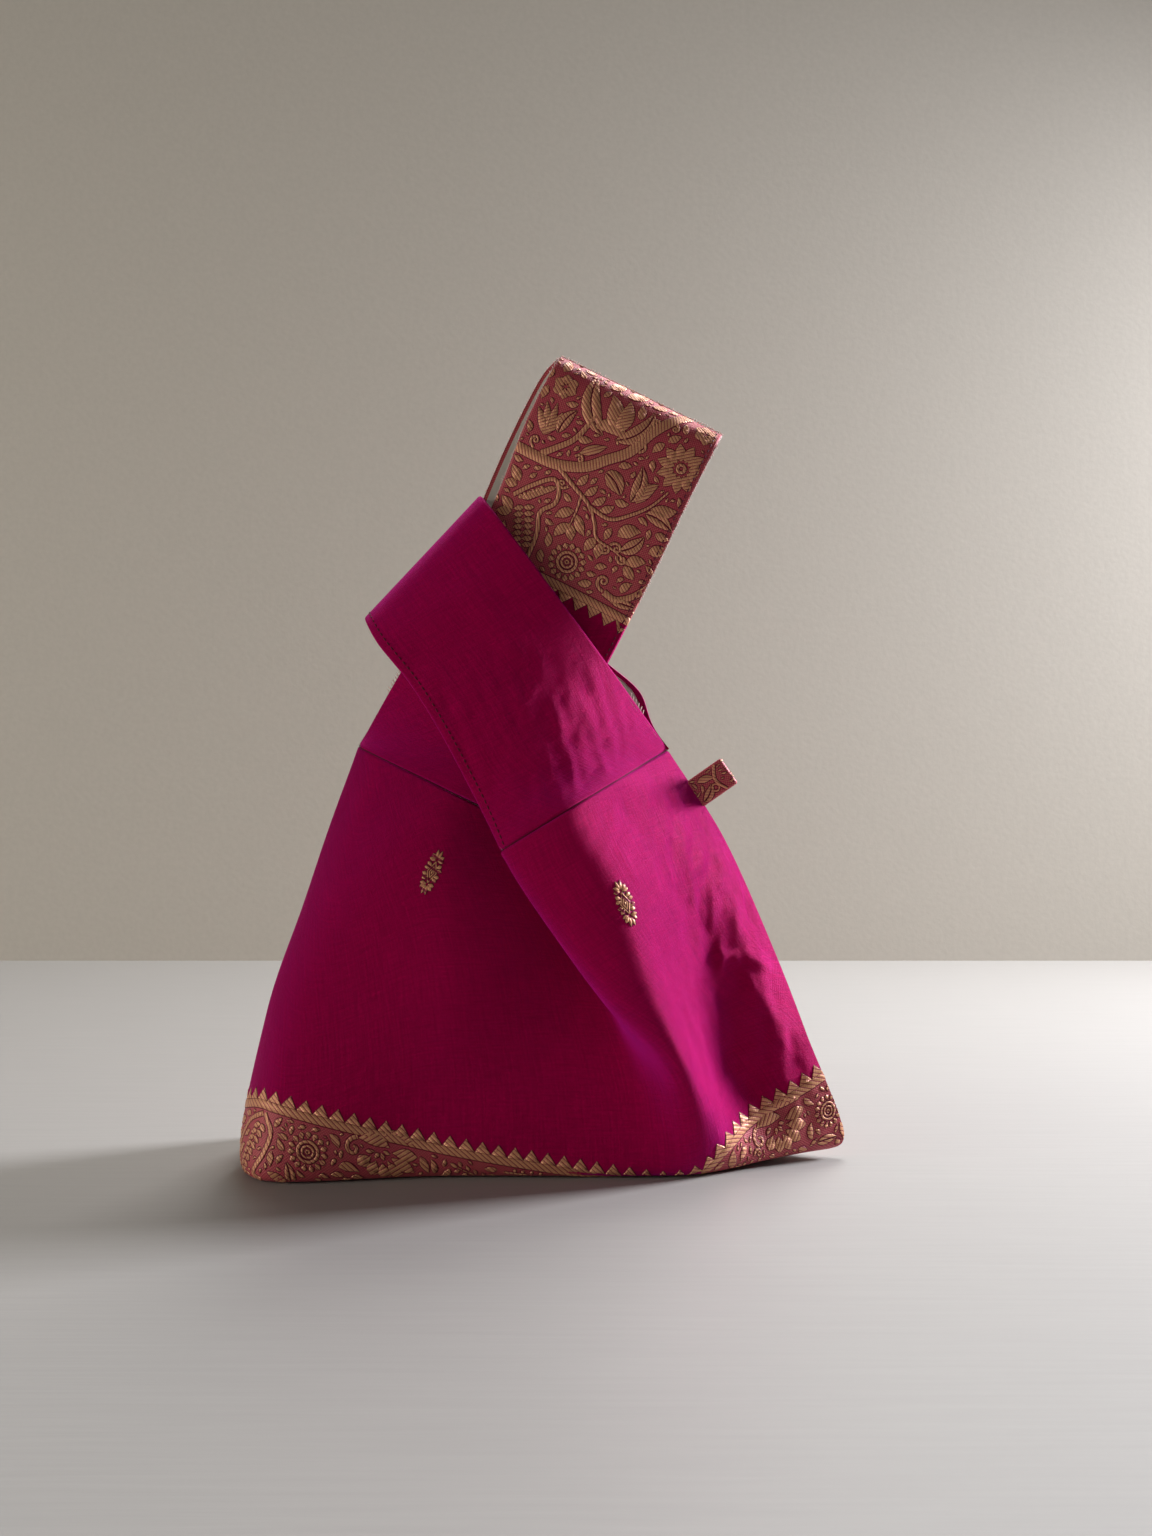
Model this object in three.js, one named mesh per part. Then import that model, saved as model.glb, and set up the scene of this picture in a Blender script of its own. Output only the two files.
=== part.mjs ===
// Knot bag: a soft silk wrist bag cut as a front and a back panel. Each panel carries one long and one
// short strap; the long strap is pushed through the short one and stands up as the carrying loop.
// Lengths in mm, Z up. X runs across the bag from the long-strap side to the short-strap side, the front
// faces -Y, and the origin is the middle of the underside.
import * as THREE from 'three';

// Body
const BASE_WIDTH = 246;          // left to right at the floor
const BASE_DEPTH = 76;           // front to back at the floor, deepest end
const BODY_HEIGHT = 170;         // floor to the strap seams at the side seams
const EAR_LIFT = 5;              // height of the right bottom corner above the floor
const FOLD_RADIUS = 5;           // size of the soft edge between wall and underside

// Straps
const LEFT_SHOULDER = -78;       // x of the left end of the long strap's seam
const LONG_STRAP_LENGTH = 155;   // left armhole bottom to the top seam
const LONG_STRAP_WIDTH = 75;
const LONG_STRAP_LEAN = 27;      // degrees to the right of upright
const LOOP_HALF_DEPTH = 10;      // middle plane to the outer face of the carrying loop
const SHORT_STRAP_WIDTH = 70;
const SHORT_STRAP_LEAN = -37;
const SHORT_STRAP_SLACK = 26;    // length of the short strap's leg beyond what the long strap fills
const KNOT_CLEARANCE = 3;        // air between the long strap and the short strap round it
const FOLD_CLEARANCE = 4;        // fold of the short strap to the edge of the long strap
const BACK_LEG_SHIFT = 5;        // the back leg of the loop sits this far to the left
const LEFT_ARMHOLE_RISE = 26;    // strap seam at the side up to the left armhole's bottom
const LEFT_ARMHOLE_ACROSS = 14;  // and across
const RIGHT_ARMHOLE_RISE = 18;
const RIGHT_ARMHOLE_ACROSS = 13;

// Side tab
const TAB_LENGTH = 16;
const TAB_WIDTH = 12.5;
const TAB_ANGLE = 35;            // degrees above level
const TAB_PLACE = 0.91;          // how far up the right side seam, as a part of its guide
const TAB_CLEARANCE = 0.5;       // root of the tab to the edge of the panels

// Cloth
const CLOTH = 1.0;
const LINING = 0.8;
const GAP = 0.3;                 // air between neighbouring pieces
const LAYERS = CLOTH + GAP + LINING;
const SEAM_HALF = GAP / 2;       // each panel stops this far short of the middle plane
const KNOT_HALF_DEPTH = LOOP_HALF_DEPTH + KNOT_CLEARANCE + LAYERS;

// Grid: steps between neighbouring guide points
const COLUMN_STEPS = 3;
const WALL_STEPS = [2, 2, 3, 3, 3, 3];
const LONG_STEPS = [2, 3, 3, 2, 2, 2];
const SHORT_STEPS = Array(12).fill(2);

const SILK = 0x8c0a3c;
const BROCADE = 0x8a4a3a;
const BEIGE = 0xb8ab98;

const radians = THREE.MathUtils.degToRad;
const mirror = (point) => new THREE.Vector3(point.x, -point.y, point.z);

// Guides of the front panel, from the left side seam round the front to the right side seam. The first
// number of a point is its share of the way from the left to the right side at that height, y is a part of
// half the base depth and z a part of the body height. `keel` is the share where the guide meets the bottom
// seam, `lift` the share of the ear lift there, `foot` the floor edge, `wall` the points above it.
const GUIDES = [
  { keel: 0.075, lift: 0, foot: [0.007, 0],
    wall: [[-0.019, 0, 0.36], [-0.015, 0, 0.63], [-0.01, 0, 0.84], [-0.004, 0, 1.01]] },
  { keel: 0.105, lift: 0, foot: [0.002, -0.47],
    wall: [[-0.034, -0.37, 0.37], [-0.025, -0.26, 0.615], [-0.017, -0.21, 0.81], [0.007, -0.13, 1.005]] },
  { keel: 0.155, lift: 0, foot: [0.05, -1],
    wall: [[0.033, -0.82, 0.34], [0.046, -0.63, 0.57], [0.059, -0.5, 0.78], [0.085, -0.32, 0.98]] },
  { keel: 0.332, lift: 0, foot: [0.332, -0.84],
    wall: [[0.325, -0.84, 0.275], [0.313, -0.79, 0.53], [0.3, -0.68, 0.74], [0.306, -0.5, 0.9]] },
  { keel: 0.64, lift: 0, foot: [0.655, -0.84],
    wall: [[0.673, -0.67, 0.21], [0.651, -0.4, 0.4], [0.592, -0.32, 0.588], [0.541, -0.38, 0.786]] },
  { keel: 0.71, lift: 0, foot: [0.738, -0.8],
    wall: [[0.748, -1, 0.241], [0.652, -1.1, 0.424], [0.552, -1.08, 0.595], [0.454, -0.92, 0.76]] },
  { keel: 0.77, lift: 0, foot: [0.801, -0.6],
    wall: [[0.78, -0.97, 0.24], [0.741, -1.13, 0.475], [0.703, -1.12, 0.7], [0.625, -1, 0.85]] },
  { keel: 0.83, lift: 0.25, foot: [0.865, -0.39],
    wall: [[0.85, -0.29, 0.227], [0.888, -0.34, 0.433], [0.904, -0.5, 0.676], [0.782, -0.66, 0.918]] },
  { keel: 0.89, lift: 0.5, foot: [0.94, -0.18],
    wall: [[0.965, -0.18, 0.251], [0.992, -0.2, 0.477], [1.01, -0.21, 0.726], [0.905, -0.26, 0.966]] },
  { keel: 0.95, lift: 0.75, foot: [1.007, 0],
    wall: [[1.039, 0, 0.31], [1.05, 0, 0.555], [1.048, 0, 0.8], [1, 0, 1]] },
];
const PLEAT_GUIDE = 4;           // the cloth doubles back here; the long strap stops one column short of it
const RIDGE_GUIDE = 5;           // guides from here to the right seam run up into the short strap

// Strap stations: `along` the strap, depth of the armhole edge and of the neckline edge as parts of the
// half depth, `crown` the rise of the middle in mm, `tilt` degrees of the cross line, `wide` its width.
// `inset` draws the armhole edge in where the knot squeezes it, `shift` is the share of the back leg's shift.
const LONG_STATIONS = [
  { along: 0, armhole: -0.3, neck: -1.9, crown: 5, tilt: 27, wide: 1, inset: 0, shift: 0 },
  { along: 0.28, armhole: -0.55, neck: -0.75, crown: 2, tilt: 27, wide: 0.97, inset: 3.4, shift: 0 },
  { along: 0.56, armhole: -0.5, neck: -0.75, crown: 2, tilt: 27, wide: 0.97, inset: 3.4, shift: 0 },
  { along: 0.8, armhole: -0.65, neck: -0.75, crown: 2, tilt: 26.5, wide: 1, inset: 0, shift: 1 },
  { along: 0.96, armhole: -0.55, neck: -0.55, crown: 1, tilt: 26, wide: 1, inset: 0, shift: 0.4 },
  { along: 1, armhole: 0, neck: 0, crown: 0, tilt: 26, wide: 1, inset: 0, shift: 0 },
];
const SHORT_STATIONS = [
  { along: 0, armhole: -0.2, neck: -2, crown: 10, tilt: 31, wide: 1.09 },
  { along: 0.25, armhole: -0.8, neck: -1.75, crown: 4, tilt: 26, wide: 1.03 },
  { along: 0.47, armhole: -1.05, neck: -1.55, crown: 2, tilt: 28, wide: 1 },
  { along: 0.75, armhole: -1.1, neck: -1.3, crown: 1, tilt: 36, wide: 1 },
  { along: 0.96, armhole: -0.75, neck: -0.85, crown: 0, tilt: 46, wide: 1 },
  { along: 1, armhole: 0, neck: 0, crown: 0, tilt: 47, wide: 1 },
];

// Where the straps start. The long strap leaves the left armhole; the short strap's fold lies just outside
// the long strap's edge, and its length sets how far to the right the other armhole is.
const longLean = radians(LONG_STRAP_LEAN);
const shortLean = radians(SHORT_STRAP_LEAN);
const knotAngle = Math.PI / 2 - longLean + shortLean;
const shortStrapLength = LONG_STRAP_WIDTH / Math.cos(knotAngle) + SHORT_STRAP_SLACK;
const leftArmhole = new THREE.Vector3(
  LEFT_SHOULDER + LEFT_ARMHOLE_ACROSS, 0, BODY_HEIGHT + LEFT_ARMHOLE_RISE);
const rightArmhole = new THREE.Vector3(0, 0, BODY_HEIGHT + RIGHT_ARMHOLE_RISE);
const foldHeight = rightArmhole.z + shortStrapLength * Math.cos(shortLean);
const edgeAtFold = leftArmhole.x + (foldHeight - leftArmhole.z) * Math.tan(longLean);
rightArmhole.x = edgeAtFold - FOLD_CLEARANCE - shortStrapLength * Math.sin(shortLean);
const rightShoulder = rightArmhole.x + RIGHT_ARMHOLE_ACROSS;

function bodyPoint([across, y, z]) {
  const left = THREE.MathUtils.lerp(-BASE_WIDTH / 2, LEFT_SHOULDER, z);
  const right = THREE.MathUtils.lerp(BASE_WIDTH / 2, rightShoulder, z);
  return new THREE.Vector3(left + across * (right - left), y * BASE_DEPTH / 2, z * BODY_HEIGHT);
}

function guidePoints(guide) {
  const height = guide.lift * EAR_LIFT;
  const keel = bodyPoint([guide.keel, 0, 0]).setZ(height);
  const foot = bodyPoint([...guide.foot, 0]).setZ(height * 4 / 3 + 0.4 * FOLD_RADIUS);
  const inward = keel.clone().sub(foot).setZ(0).setLength(FOLD_RADIUS);
  const heel = foot.clone().add(inward).setZ(height);
  return [keel, heel, foot, ...guide.wall.map(bodyPoint)];
}

// Parameters of a curve through `steps.length + 1` points, with the given steps between neighbours.
function parameters(steps) {
  const list = [0];
  steps.forEach((count, index) => {
    for (let step = 1; step <= count; step += 1) list.push((index + step / count) / steps.length);
  });
  return list;
}

function curveRow(points, values) {
  const curve = new THREE.CatmullRomCurve3(points);
  return values.map((value) => curve.getPoint(value));
}

const transpose = (grid) => grid[0].map((_, index) => grid.map((row) => row[index]));

// The outer face of the front panel as rows of points, bottom seam first.
function panelGrid() {
  const along = GUIDES.map((guide) => curveRow(guidePoints(guide), parameters(WALL_STEPS)));
  const across = parameters(Array(GUIDES.length - 1).fill(COLUMN_STEPS));
  return transpose(along).map((row) => curveRow(row, across).map((point) => {
    point.y = Math.min(point.y, -SEAM_HALF);
    point.z = Math.max(point.z, 0);
    return point;
  }));
}

// One cross line of a strap, armhole edge first.
function stationRow(station, strap, count) {
  const { lean } = strap;
  const tilt = radians(station.tilt);
  const side = Math.sign(lean);
  const reach = station.along * strap.length;
  const armhole = new THREE.Vector3(
    strap.start.x + reach * Math.sin(lean), station.armhole * strap.halfDepth,
    strap.start.z + reach * Math.cos(lean));
  const across = new THREE.Vector3(side * Math.cos(tilt), 0, -Math.sin(tilt));
  const neck = armhole.clone().addScaledVector(across, strap.width * station.wide);
  neck.y = station.neck * strap.halfDepth;
  const sideways = (station.inset ?? 0) - (station.shift ?? 0) * strap.shift;
  return Array.from({ length: count }, (_, index) => {
    const share = index / (count - 1);
    const point = armhole.clone().lerp(neck, share);
    point.y = Math.min(point.y - station.crown * 4 * share * (1 - share), -SEAM_HALF);
    point.x += sideways;
    return point;
  });
}

// A strap foot: the panel's top edge, raised by the seam gap towards the next cross line.
function footRow(topRow, nextRow) {
  return topRow.map((point, index) => {
    const rise = nextRow[index].clone().sub(point).setLength(GAP);
    return point.clone().add(rise);
  });
}

function longStrapGrid(topRow, shift) {
  const strap = {
    start: leftArmhole, lean: longLean, length: LONG_STRAP_LENGTH, width: LONG_STRAP_WIDTH,
    halfDepth: LOOP_HALF_DEPTH, shift,
  };
  const stations = LONG_STATIONS.map((station) => stationRow(station, strap, topRow.length));
  const rows = [footRow(topRow, stations[0]), ...stations];
  const columns = transpose(rows).map((column) => curveRow(column, parameters(LONG_STEPS)));
  return transpose(columns);
}

function shortStrapGrid(topRow) {
  const strap = {
    start: rightArmhole, lean: shortLean, length: shortStrapLength, width: SHORT_STRAP_WIDTH,
    halfDepth: KNOT_HALF_DEPTH, shift: 0,
  };
  const stations = SHORT_STATIONS.map((station) => stationRow(station, strap, topRow.length).reverse());
  const front = [footRow(topRow, stations[0]), ...stations];
  front[front.length - 1].forEach((point) => point.setY(0));
  const back = front.slice(0, -1).reverse().map((row) => row.map(mirror));
  const columns = transpose([...front, ...back]).map((column) => curveRow(column, parameters(SHORT_STEPS)));
  return transpose(columns);
}

// Neighbour just past the edge of a grid: the mirror image across the middle plane where the edge is a
// seam there, a straight run-on elsewhere.
function beyond(edge, inner, seam) {
  if (seam) return inner.map(mirror);
  return edge.map((point, index) => point.clone().multiplyScalar(2).sub(inner[index]));
}

function extended(grid, seams) {
  const last = grid.length - 1;
  const tall = [beyond(grid[0], grid[1], seams.bottom), ...grid,
    beyond(grid[last], grid[last - 1], seams.top)];
  const columns = transpose(tall);
  const end = columns.length - 1;
  return transpose([beyond(columns[0], columns[1], seams.left), ...columns,
    beyond(columns[end], columns[end - 1], seams.right)]);
}

function quadNormal(a, b, c, d) {
  const diagonal = c.clone().sub(a);
  return diagonal.cross(d.clone().sub(b)).normalize();
}

// Vectors that carry a grid inward by one unit of cloth thickness, lengthened where the sheet is folded.
function inwardVectors(grid, seams) {
  const wide = extended(grid, seams);
  return grid.map((row, r) => row.map((_, c) => {
    const normals = [];
    for (const i of [r, r + 1]) {
      for (const j of [c, c + 1]) {
        normals.push(quadNormal(wide[i][j], wide[i][j + 1], wide[i + 1][j + 1], wide[i + 1][j]));
      }
    }
    const sum = normals.reduce((total, normal) => total.add(normal), new THREE.Vector3()).normalize();
    const least = Math.min(...normals.map((normal) => normal.dot(sum)));
    return sum.multiplyScalar(-1 / Math.max(least, 0.6));
  }));
}

function offsetGrid(grid, inward, depth, keepFront) {
  return grid.map((row, r) => row.map((point, c) => {
    const moved = point.clone().addScaledVector(inward[r][c], depth);
    if (keepFront) moved.y = Math.min(moved.y, -SEAM_HALF);
    return moved;
  }));
}

// A closed sheet between an outer and an inner face that share their grid.
function sheetMesh(name, outer, inner, colour) {
  const rows = outer.length;
  const columns = outer[0].length;
  const points = [...outer.flat(), ...inner.flat()];
  const at = (layer, row, column) => layer * rows * columns + row * columns + column;
  const faces = [];
  const quad = (a, b, c, d) => faces.push(a, b, c, a, c, d);
  for (let r = 0; r < rows - 1; r += 1) {
    for (let c = 0; c < columns - 1; c += 1) {
      quad(at(0, r, c), at(0, r, c + 1), at(0, r + 1, c + 1), at(0, r + 1, c));
      quad(at(1, r, c), at(1, r + 1, c), at(1, r + 1, c + 1), at(1, r, c + 1));
    }
  }
  const rim = [];
  for (let c = 0; c < columns - 1; c += 1) rim.push([0, c]);
  for (let r = 0; r < rows - 1; r += 1) rim.push([r, columns - 1]);
  for (let c = columns - 1; c > 0; c -= 1) rim.push([rows - 1, c]);
  for (let r = rows - 1; r > 0; r -= 1) rim.push([r, 0]);
  rim.forEach(([r, c], index) => {
    const [nextRow, nextColumn] = rim[(index + 1) % rim.length];
    quad(at(0, nextRow, nextColumn), at(0, r, c), at(1, r, c), at(1, nextRow, nextColumn));
  });
  const geometry = new THREE.BufferGeometry();
  geometry.setAttribute('position', new THREE.Float32BufferAttribute(points.flatMap((p) => p.toArray()), 3));
  geometry.setIndex(faces);
  return named(name, geometry, colour);
}

function named(name, geometry, colour) {
  geometry.computeVertexNormals();
  const material = new THREE.MeshStandardMaterial({ color: colour, roughness: 0.6, side: THREE.DoubleSide });
  const mesh = new THREE.Mesh(geometry, material);
  mesh.name = name;
  return mesh;
}

// Outer cloth and the lining behind it, both from one outer face. `ends` gives the inward vectors of rows
// that are sewn to another piece, so both pieces stop at parallel edges.
function clothAndLining(grid, seams, keepFront, ends = {}) {
  const inward = inwardVectors(grid, seams);
  if (ends.first) inward[0] = ends.first;
  if (ends.last) inward[inward.length - 1] = ends.last;
  const at = (depth) => offsetGrid(grid, inward, depth, keepFront);
  return { cloth: [grid, at(CLOTH)], lining: [at(CLOTH + GAP), at(LAYERS)], inward };
}

const withoutLastColumn = (grid) => grid.map((row) => row.slice(0, -1));

// The same sheet on the other side of the middle plane.
function flipped(pair) {
  return pair.map((grid) => grid.map((row) => row.map(mirror).reverse()));
}

// The tab: a short strip folded in half, its two ends held at the right side seam.
function tabMesh(root) {
  const angle = radians(TAB_ANGLE);
  const along = new THREE.Vector3(Math.cos(angle), 0, Math.sin(angle));
  const across = new THREE.Vector3(-Math.sin(angle), 0, Math.cos(angle));
  const half = GAP + CLOTH;
  const straight = TAB_LENGTH - half;
  const profile = [[0, -half], [straight, -half], [TAB_LENGTH - half * 0.3, -half * 0.75], [TAB_LENGTH, 0],
    [TAB_LENGTH - half * 0.3, half * 0.75], [straight, half], [0, half]];
  const hollow = [[0, -GAP], [straight, -GAP], [straight + GAP * 0.5, -GAP * 0.6], [straight + GAP, 0],
    [straight + GAP * 0.5, GAP * 0.6], [straight, GAP], [0, GAP]];
  const line = (list, share) => list.map(([reach, depth]) => root.clone()
    .addScaledVector(along, reach + TAB_CLEARANCE)
    .addScaledVector(across, (share - 0.5) * TAB_WIDTH).setY(depth));
  const grid = (list) => [line(list, 0), line(list, 1)];
  return sheetMesh('side_tab', grid(profile), grid(hollow), BROCADE);
}

const panel = panelGrid();
const panelSeams = { left: true, right: true, bottom: true, top: false };
const body = clothAndLining(panel, panelSeams, true);
const topRow = panel[panel.length - 1];
const topInward = body.inward[panel.length - 1];
const ofLongStrap = (row) => row.slice(0, PLEAT_GUIDE * COLUMN_STEPS);
const ofShortStrap = (row) => row.slice(RIDGE_GUIDE * COLUMN_STEPS);
const strapSeams = { left: false, right: false, bottom: false, top: true };
const longEnds = { first: ofLongStrap(topInward) };
const longFront = clothAndLining(longStrapGrid(ofLongStrap(topRow), 0), strapSeams, true, longEnds);
const longBack = clothAndLining(
  longStrapGrid(ofLongStrap(topRow), BACK_LEG_SHIFT), strapSeams, true, longEnds);
const openEdges = { left: false, right: false, bottom: false, top: false };
const shortEnds = { first: ofShortStrap(topInward), last: ofShortStrap(topInward).map(mirror) };
const short = clothAndLining(shortStrapGrid(ofShortStrap(topRow)), openEdges, false, shortEnds);
const bodyLining = body.lining.map(withoutLastColumn);   // it stops short of the sharp right seam
const rightSeam = new THREE.CatmullRomCurve3(guidePoints(GUIDES[GUIDES.length - 1]));
const tabRoot = rightSeam.getPoint(TAB_PLACE);

const bag = new THREE.Group();
bag.name = 'knot_bag';
bag.add(
  sheetMesh('body_front', ...body.cloth, SILK),
  sheetMesh('body_back', ...flipped(body.cloth), SILK),
  sheetMesh('long_strap_front', ...longFront.cloth, BROCADE),
  sheetMesh('long_strap_back', ...flipped(longBack.cloth), BROCADE),
  sheetMesh('short_strap', ...short.cloth, SILK),
  sheetMesh('lining_front', ...bodyLining, BEIGE),
  sheetMesh('lining_back', ...flipped(bodyLining), BEIGE),
  sheetMesh('long_strap_lining_front', ...longFront.lining, BEIGE),
  sheetMesh('long_strap_lining_back', ...flipped(longBack.lining), BEIGE),
  sheetMesh('short_strap_lining', ...short.lining, BEIGE),
  tabMesh(tabRoot),
);

const box = new THREE.Box3().setFromObject(bag);
bag.children.forEach((mesh) => mesh.geometry.translate(
  -(box.min.x + box.max.x) / 2, -(box.min.y + box.max.y) / 2, -box.min.z));

export default bag;
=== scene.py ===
"""Silk knot bag with a woven gold border, laid out as an add-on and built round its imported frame.

The bag is sewn from a front and a back panel. A long strap is pushed through a short one and stands up as
the carrying loop. Shapes are worked out in millimetres, with the front facing -Y, and made in metres.
"""

import math
from types import SimpleNamespace

import bmesh
import bpy
import numpy as np
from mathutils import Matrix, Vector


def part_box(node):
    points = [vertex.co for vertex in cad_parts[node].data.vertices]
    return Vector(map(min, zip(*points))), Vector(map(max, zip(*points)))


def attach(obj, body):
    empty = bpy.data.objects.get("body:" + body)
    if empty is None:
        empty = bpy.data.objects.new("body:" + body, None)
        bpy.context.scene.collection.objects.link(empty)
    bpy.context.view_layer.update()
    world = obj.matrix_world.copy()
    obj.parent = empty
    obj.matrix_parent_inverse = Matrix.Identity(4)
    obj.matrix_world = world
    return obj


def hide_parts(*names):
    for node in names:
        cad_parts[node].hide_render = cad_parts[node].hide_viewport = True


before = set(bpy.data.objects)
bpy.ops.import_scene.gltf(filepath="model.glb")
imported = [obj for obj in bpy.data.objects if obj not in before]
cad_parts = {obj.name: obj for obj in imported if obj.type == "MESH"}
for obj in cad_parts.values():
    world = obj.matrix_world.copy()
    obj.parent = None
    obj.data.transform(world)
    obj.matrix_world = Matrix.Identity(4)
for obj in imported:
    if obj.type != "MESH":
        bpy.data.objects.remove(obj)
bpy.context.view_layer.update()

bl_info = {
    "name": "Knot bag",
    "version": (1, 0, 0),
    "blender": (4, 5, 0),
    "location": "View3D > Sidebar > Knot bag",
    "description": "Builds a silk knot bag with a woven gold border round its packed frame",
    "category": "Object",
}

MM = 0.001
MIRROR = np.array([1.0, -1.0, 1.0])

# Guides of the front panel, from the left side seam round the front to the right one. A point is its share of
# the way from the left to the right side, y as a part of half the base depth and z as a part of the height.
# `keel` is the share at the bottom seam, `lift` the share of the ear lift there, `foot` the floor edge,
# `wall` the points above it, and `border` how far the border's teeth reach up from the floor edge, in mm.
GUIDES = (
    dict(keel=0.075, lift=0, foot=(0.007, 0), border=27.5,
         wall=((-0.019, 0, 0.36), (-0.015, 0, 0.63), (-0.01, 0, 0.84), (-0.004, 0, 1.01))),
    dict(keel=0.105, lift=0, foot=(0.002, -0.47), border=31,
         wall=((-0.034, -0.37, 0.37), (-0.025, -0.26, 0.615), (-0.017, -0.21, 0.81), (0.007, -0.13, 1.005))),
    dict(keel=0.155, lift=0, foot=(0.05, -1), border=34,
         wall=((0.033, -0.82, 0.34), (0.046, -0.63, 0.57), (0.059, -0.5, 0.78), (0.085, -0.32, 0.98))),
    dict(keel=0.332, lift=0, foot=(0.332, -0.84), border=16.5,
         wall=((0.325, -0.84, 0.275), (0.313, -0.79, 0.53), (0.3, -0.68, 0.74), (0.306, -0.5, 0.9))),
    dict(keel=0.64, lift=0, foot=(0.655, -0.84), border=2.4,
         wall=((0.673, -0.67, 0.21), (0.651, -0.4, 0.4), (0.592, -0.32, 0.588), (0.541, -0.38, 0.786))),
    dict(keel=0.71, lift=0, foot=(0.738, -0.8), border=3,
         wall=((0.748, -1, 0.241), (0.652, -1.1, 0.424), (0.552, -1.08, 0.595), (0.454, -0.92, 0.76))),
    dict(keel=0.77, lift=0, foot=(0.801, -0.6), border=15,
         wall=((0.78, -0.97, 0.24), (0.741, -1.13, 0.475), (0.703, -1.12, 0.7), (0.625, -1, 0.85))),
    dict(keel=0.83, lift=0.25, foot=(0.865, -0.39), border=22,
         wall=((0.85, -0.29, 0.227), (0.888, -0.34, 0.433), (0.904, -0.5, 0.676), (0.782, -0.66, 0.918))),
    dict(keel=0.89, lift=0.5, foot=(0.94, -0.18), border=29,
         wall=((0.965, -0.18, 0.251), (0.992, -0.2, 0.477), (1.01, -0.21, 0.726), (0.905, -0.26, 0.966))),
    dict(keel=0.95, lift=0.75, foot=(1.007, 0), border=35,
         wall=((1.039, 0, 0.31), (1.05, 0, 0.555), (1.048, 0, 0.8), (1, 0, 1))),
)
LAST_GUIDE = len(GUIDES) - 1
EAR_SLOPE = 4 / 3                # rise of the floor edge at the ear, as a part of the bottom seam's rise
FOOT_RISE = 0.4                  # height of the floor edge, as a part of the fold radius
GUIDE_SPACING = 25               # mm, about the way from guide to guide along the border
LONG_STRAP_END = 11 / 3          # guide number where the long strap's seam stops, just short of the pleat
SHORT_STRAP_START = 5            # guide number where the short strap's seam starts
LINING_END = 8.7                 # guide number where the body lining stops, short of the sharp right seam

# Strap stations: share of the way along, depth of the armhole and the neckline edge as parts of the half
# depth, rise of the middle in mm, tilt of the cross line in degrees, and its width as a part of the strap's.
# The long strap adds how far its armhole edge is drawn in at the knot, and the share of the back leg's shift.
LONG_STATIONS = (
    (0, -0.3, -1.9, 5, 27, 1, 0, 0),
    (0.28, -0.55, -0.75, 2, 27, 0.97, 3.4, 0.1),
    (0.56, -0.5, -0.75, 2, 27, 0.97, 3.4, 1.2),
    (0.8, -0.65, -0.75, 2, 26.5, 1, 0, 1),
    (0.96, -0.55, -0.55, 1, 26, 1, 0, 0.8),
    (1, 0, 0, 0, 26, 1, 0, 0),
)
SHORT_STATIONS = (
    (0, -0.2, -2, 10, 31, 1.09, 0, 0),
    (0.25, -0.8, -1.75, 4, 26, 1.03, 0, 0),
    (0.47, -1.05, -1.55, 2, 28, 1, 0, 0),
    (0.75, -1.1, -1.3, 1, 36, 1, 0, 0),
    (0.96, -0.75, -0.85, 0, 46, 1, 0, 0),
    (1, 0, 0, 0, 47, 1, 0, 0),
)
# Back edge of the right armhole: how far it bulges out, how far above the armhole and over what height, mm
ARMHOLE_GAPE = (6.0, 7.0, 11.0)
LONG_LEAN = math.radians(27)
SHORT_LEAN = math.radians(-37)
TAB_ANGLE = math.radians(35)
TAB_CAUGHT = 2.2                 # how far the tab reaches into the side seam, mm
TAB_PLACE = 0.91                 # how far up the right side seam the tab is caught, as a part of its guide

# Steps between neighbouring guide points, bottom first or left first
WALL_STEPS = (22, 8, 34, 26, 24, 22)
COLUMN_STEPS = (14, 16, 38, 44, 30, 22, 28, 22, 18)
LONG_STEPS = (22, 32, 32, 30, 22, 8)
SHORT_STEPS = (18, 22, 18, 24, 20, 8, 8, 20, 24, 18, 22, 18)
STRAP_COLUMNS = 52
TAB_STEPS = 14
TAB_TURN_STEPS = 9
TAB_COLUMNS = 22
FOOT_ROW = WALL_STEPS[0] + WALL_STEPS[1]
PACKED_WALL_STEPS = (2, 2, 3, 3, 3, 3)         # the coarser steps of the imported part
PACKED_COLUMN_STEPS = (3,) * LAST_GUIDE

# Folds of the front panel as (x, z) places from one end to the other, with half width and height in mm
PANEL_FOLDS = (
    (((30.8, 129), (35.5, 119)), 1.3, 0.28),
    (((38.5, 134), (41.5, 124)), 1.2, 0.2),
    (((43, 131), (44.5, 113)), 1.3, 0.25),
    (((47.5, 133.5), (49.3, 120)), 1.1, 0.24),
    (((51.4, 131), (53, 112)), 1.4, -0.3),
    (((56.5, 132), (59.9, 108)), 1.3, 0.3),
    (((62.4, 118), (63, 99)), 1.4, -0.3),
    (((67.4, 116), (67.9, 95.7)), 1.3, 0.3),
    (((72, 124), (74.5, 104)), 1.6, 0.22),
    (((82, 106), (87, 90)), 4.2, -1.1),
    (((70.3, 86.7), (81.8, 84.6), (91.5, 80.1)), 1.9, 0.75),
    (((78.3, 83), (85, 73)), 1.9, 0.45),
    (((71, 92), (72, 82)), 1.8, 0.35),
)
FOLD_GUIDES = (4.6, 9)           # the folds lie between these guides
STRAP_FOLDS = (
    (((9, 171), (13.5, 154)), 1.5, 0.3),
    (((15.5, 170), (20, 152)), 1.7, -0.3),
    (((22, 168), (26, 159)), 1.4, 0.28),
    (((3, 189), (8, 178)), 2.4, 0.35),
    (((-30, 232), (-12, 212)), 7, 0.6),
)

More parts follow.
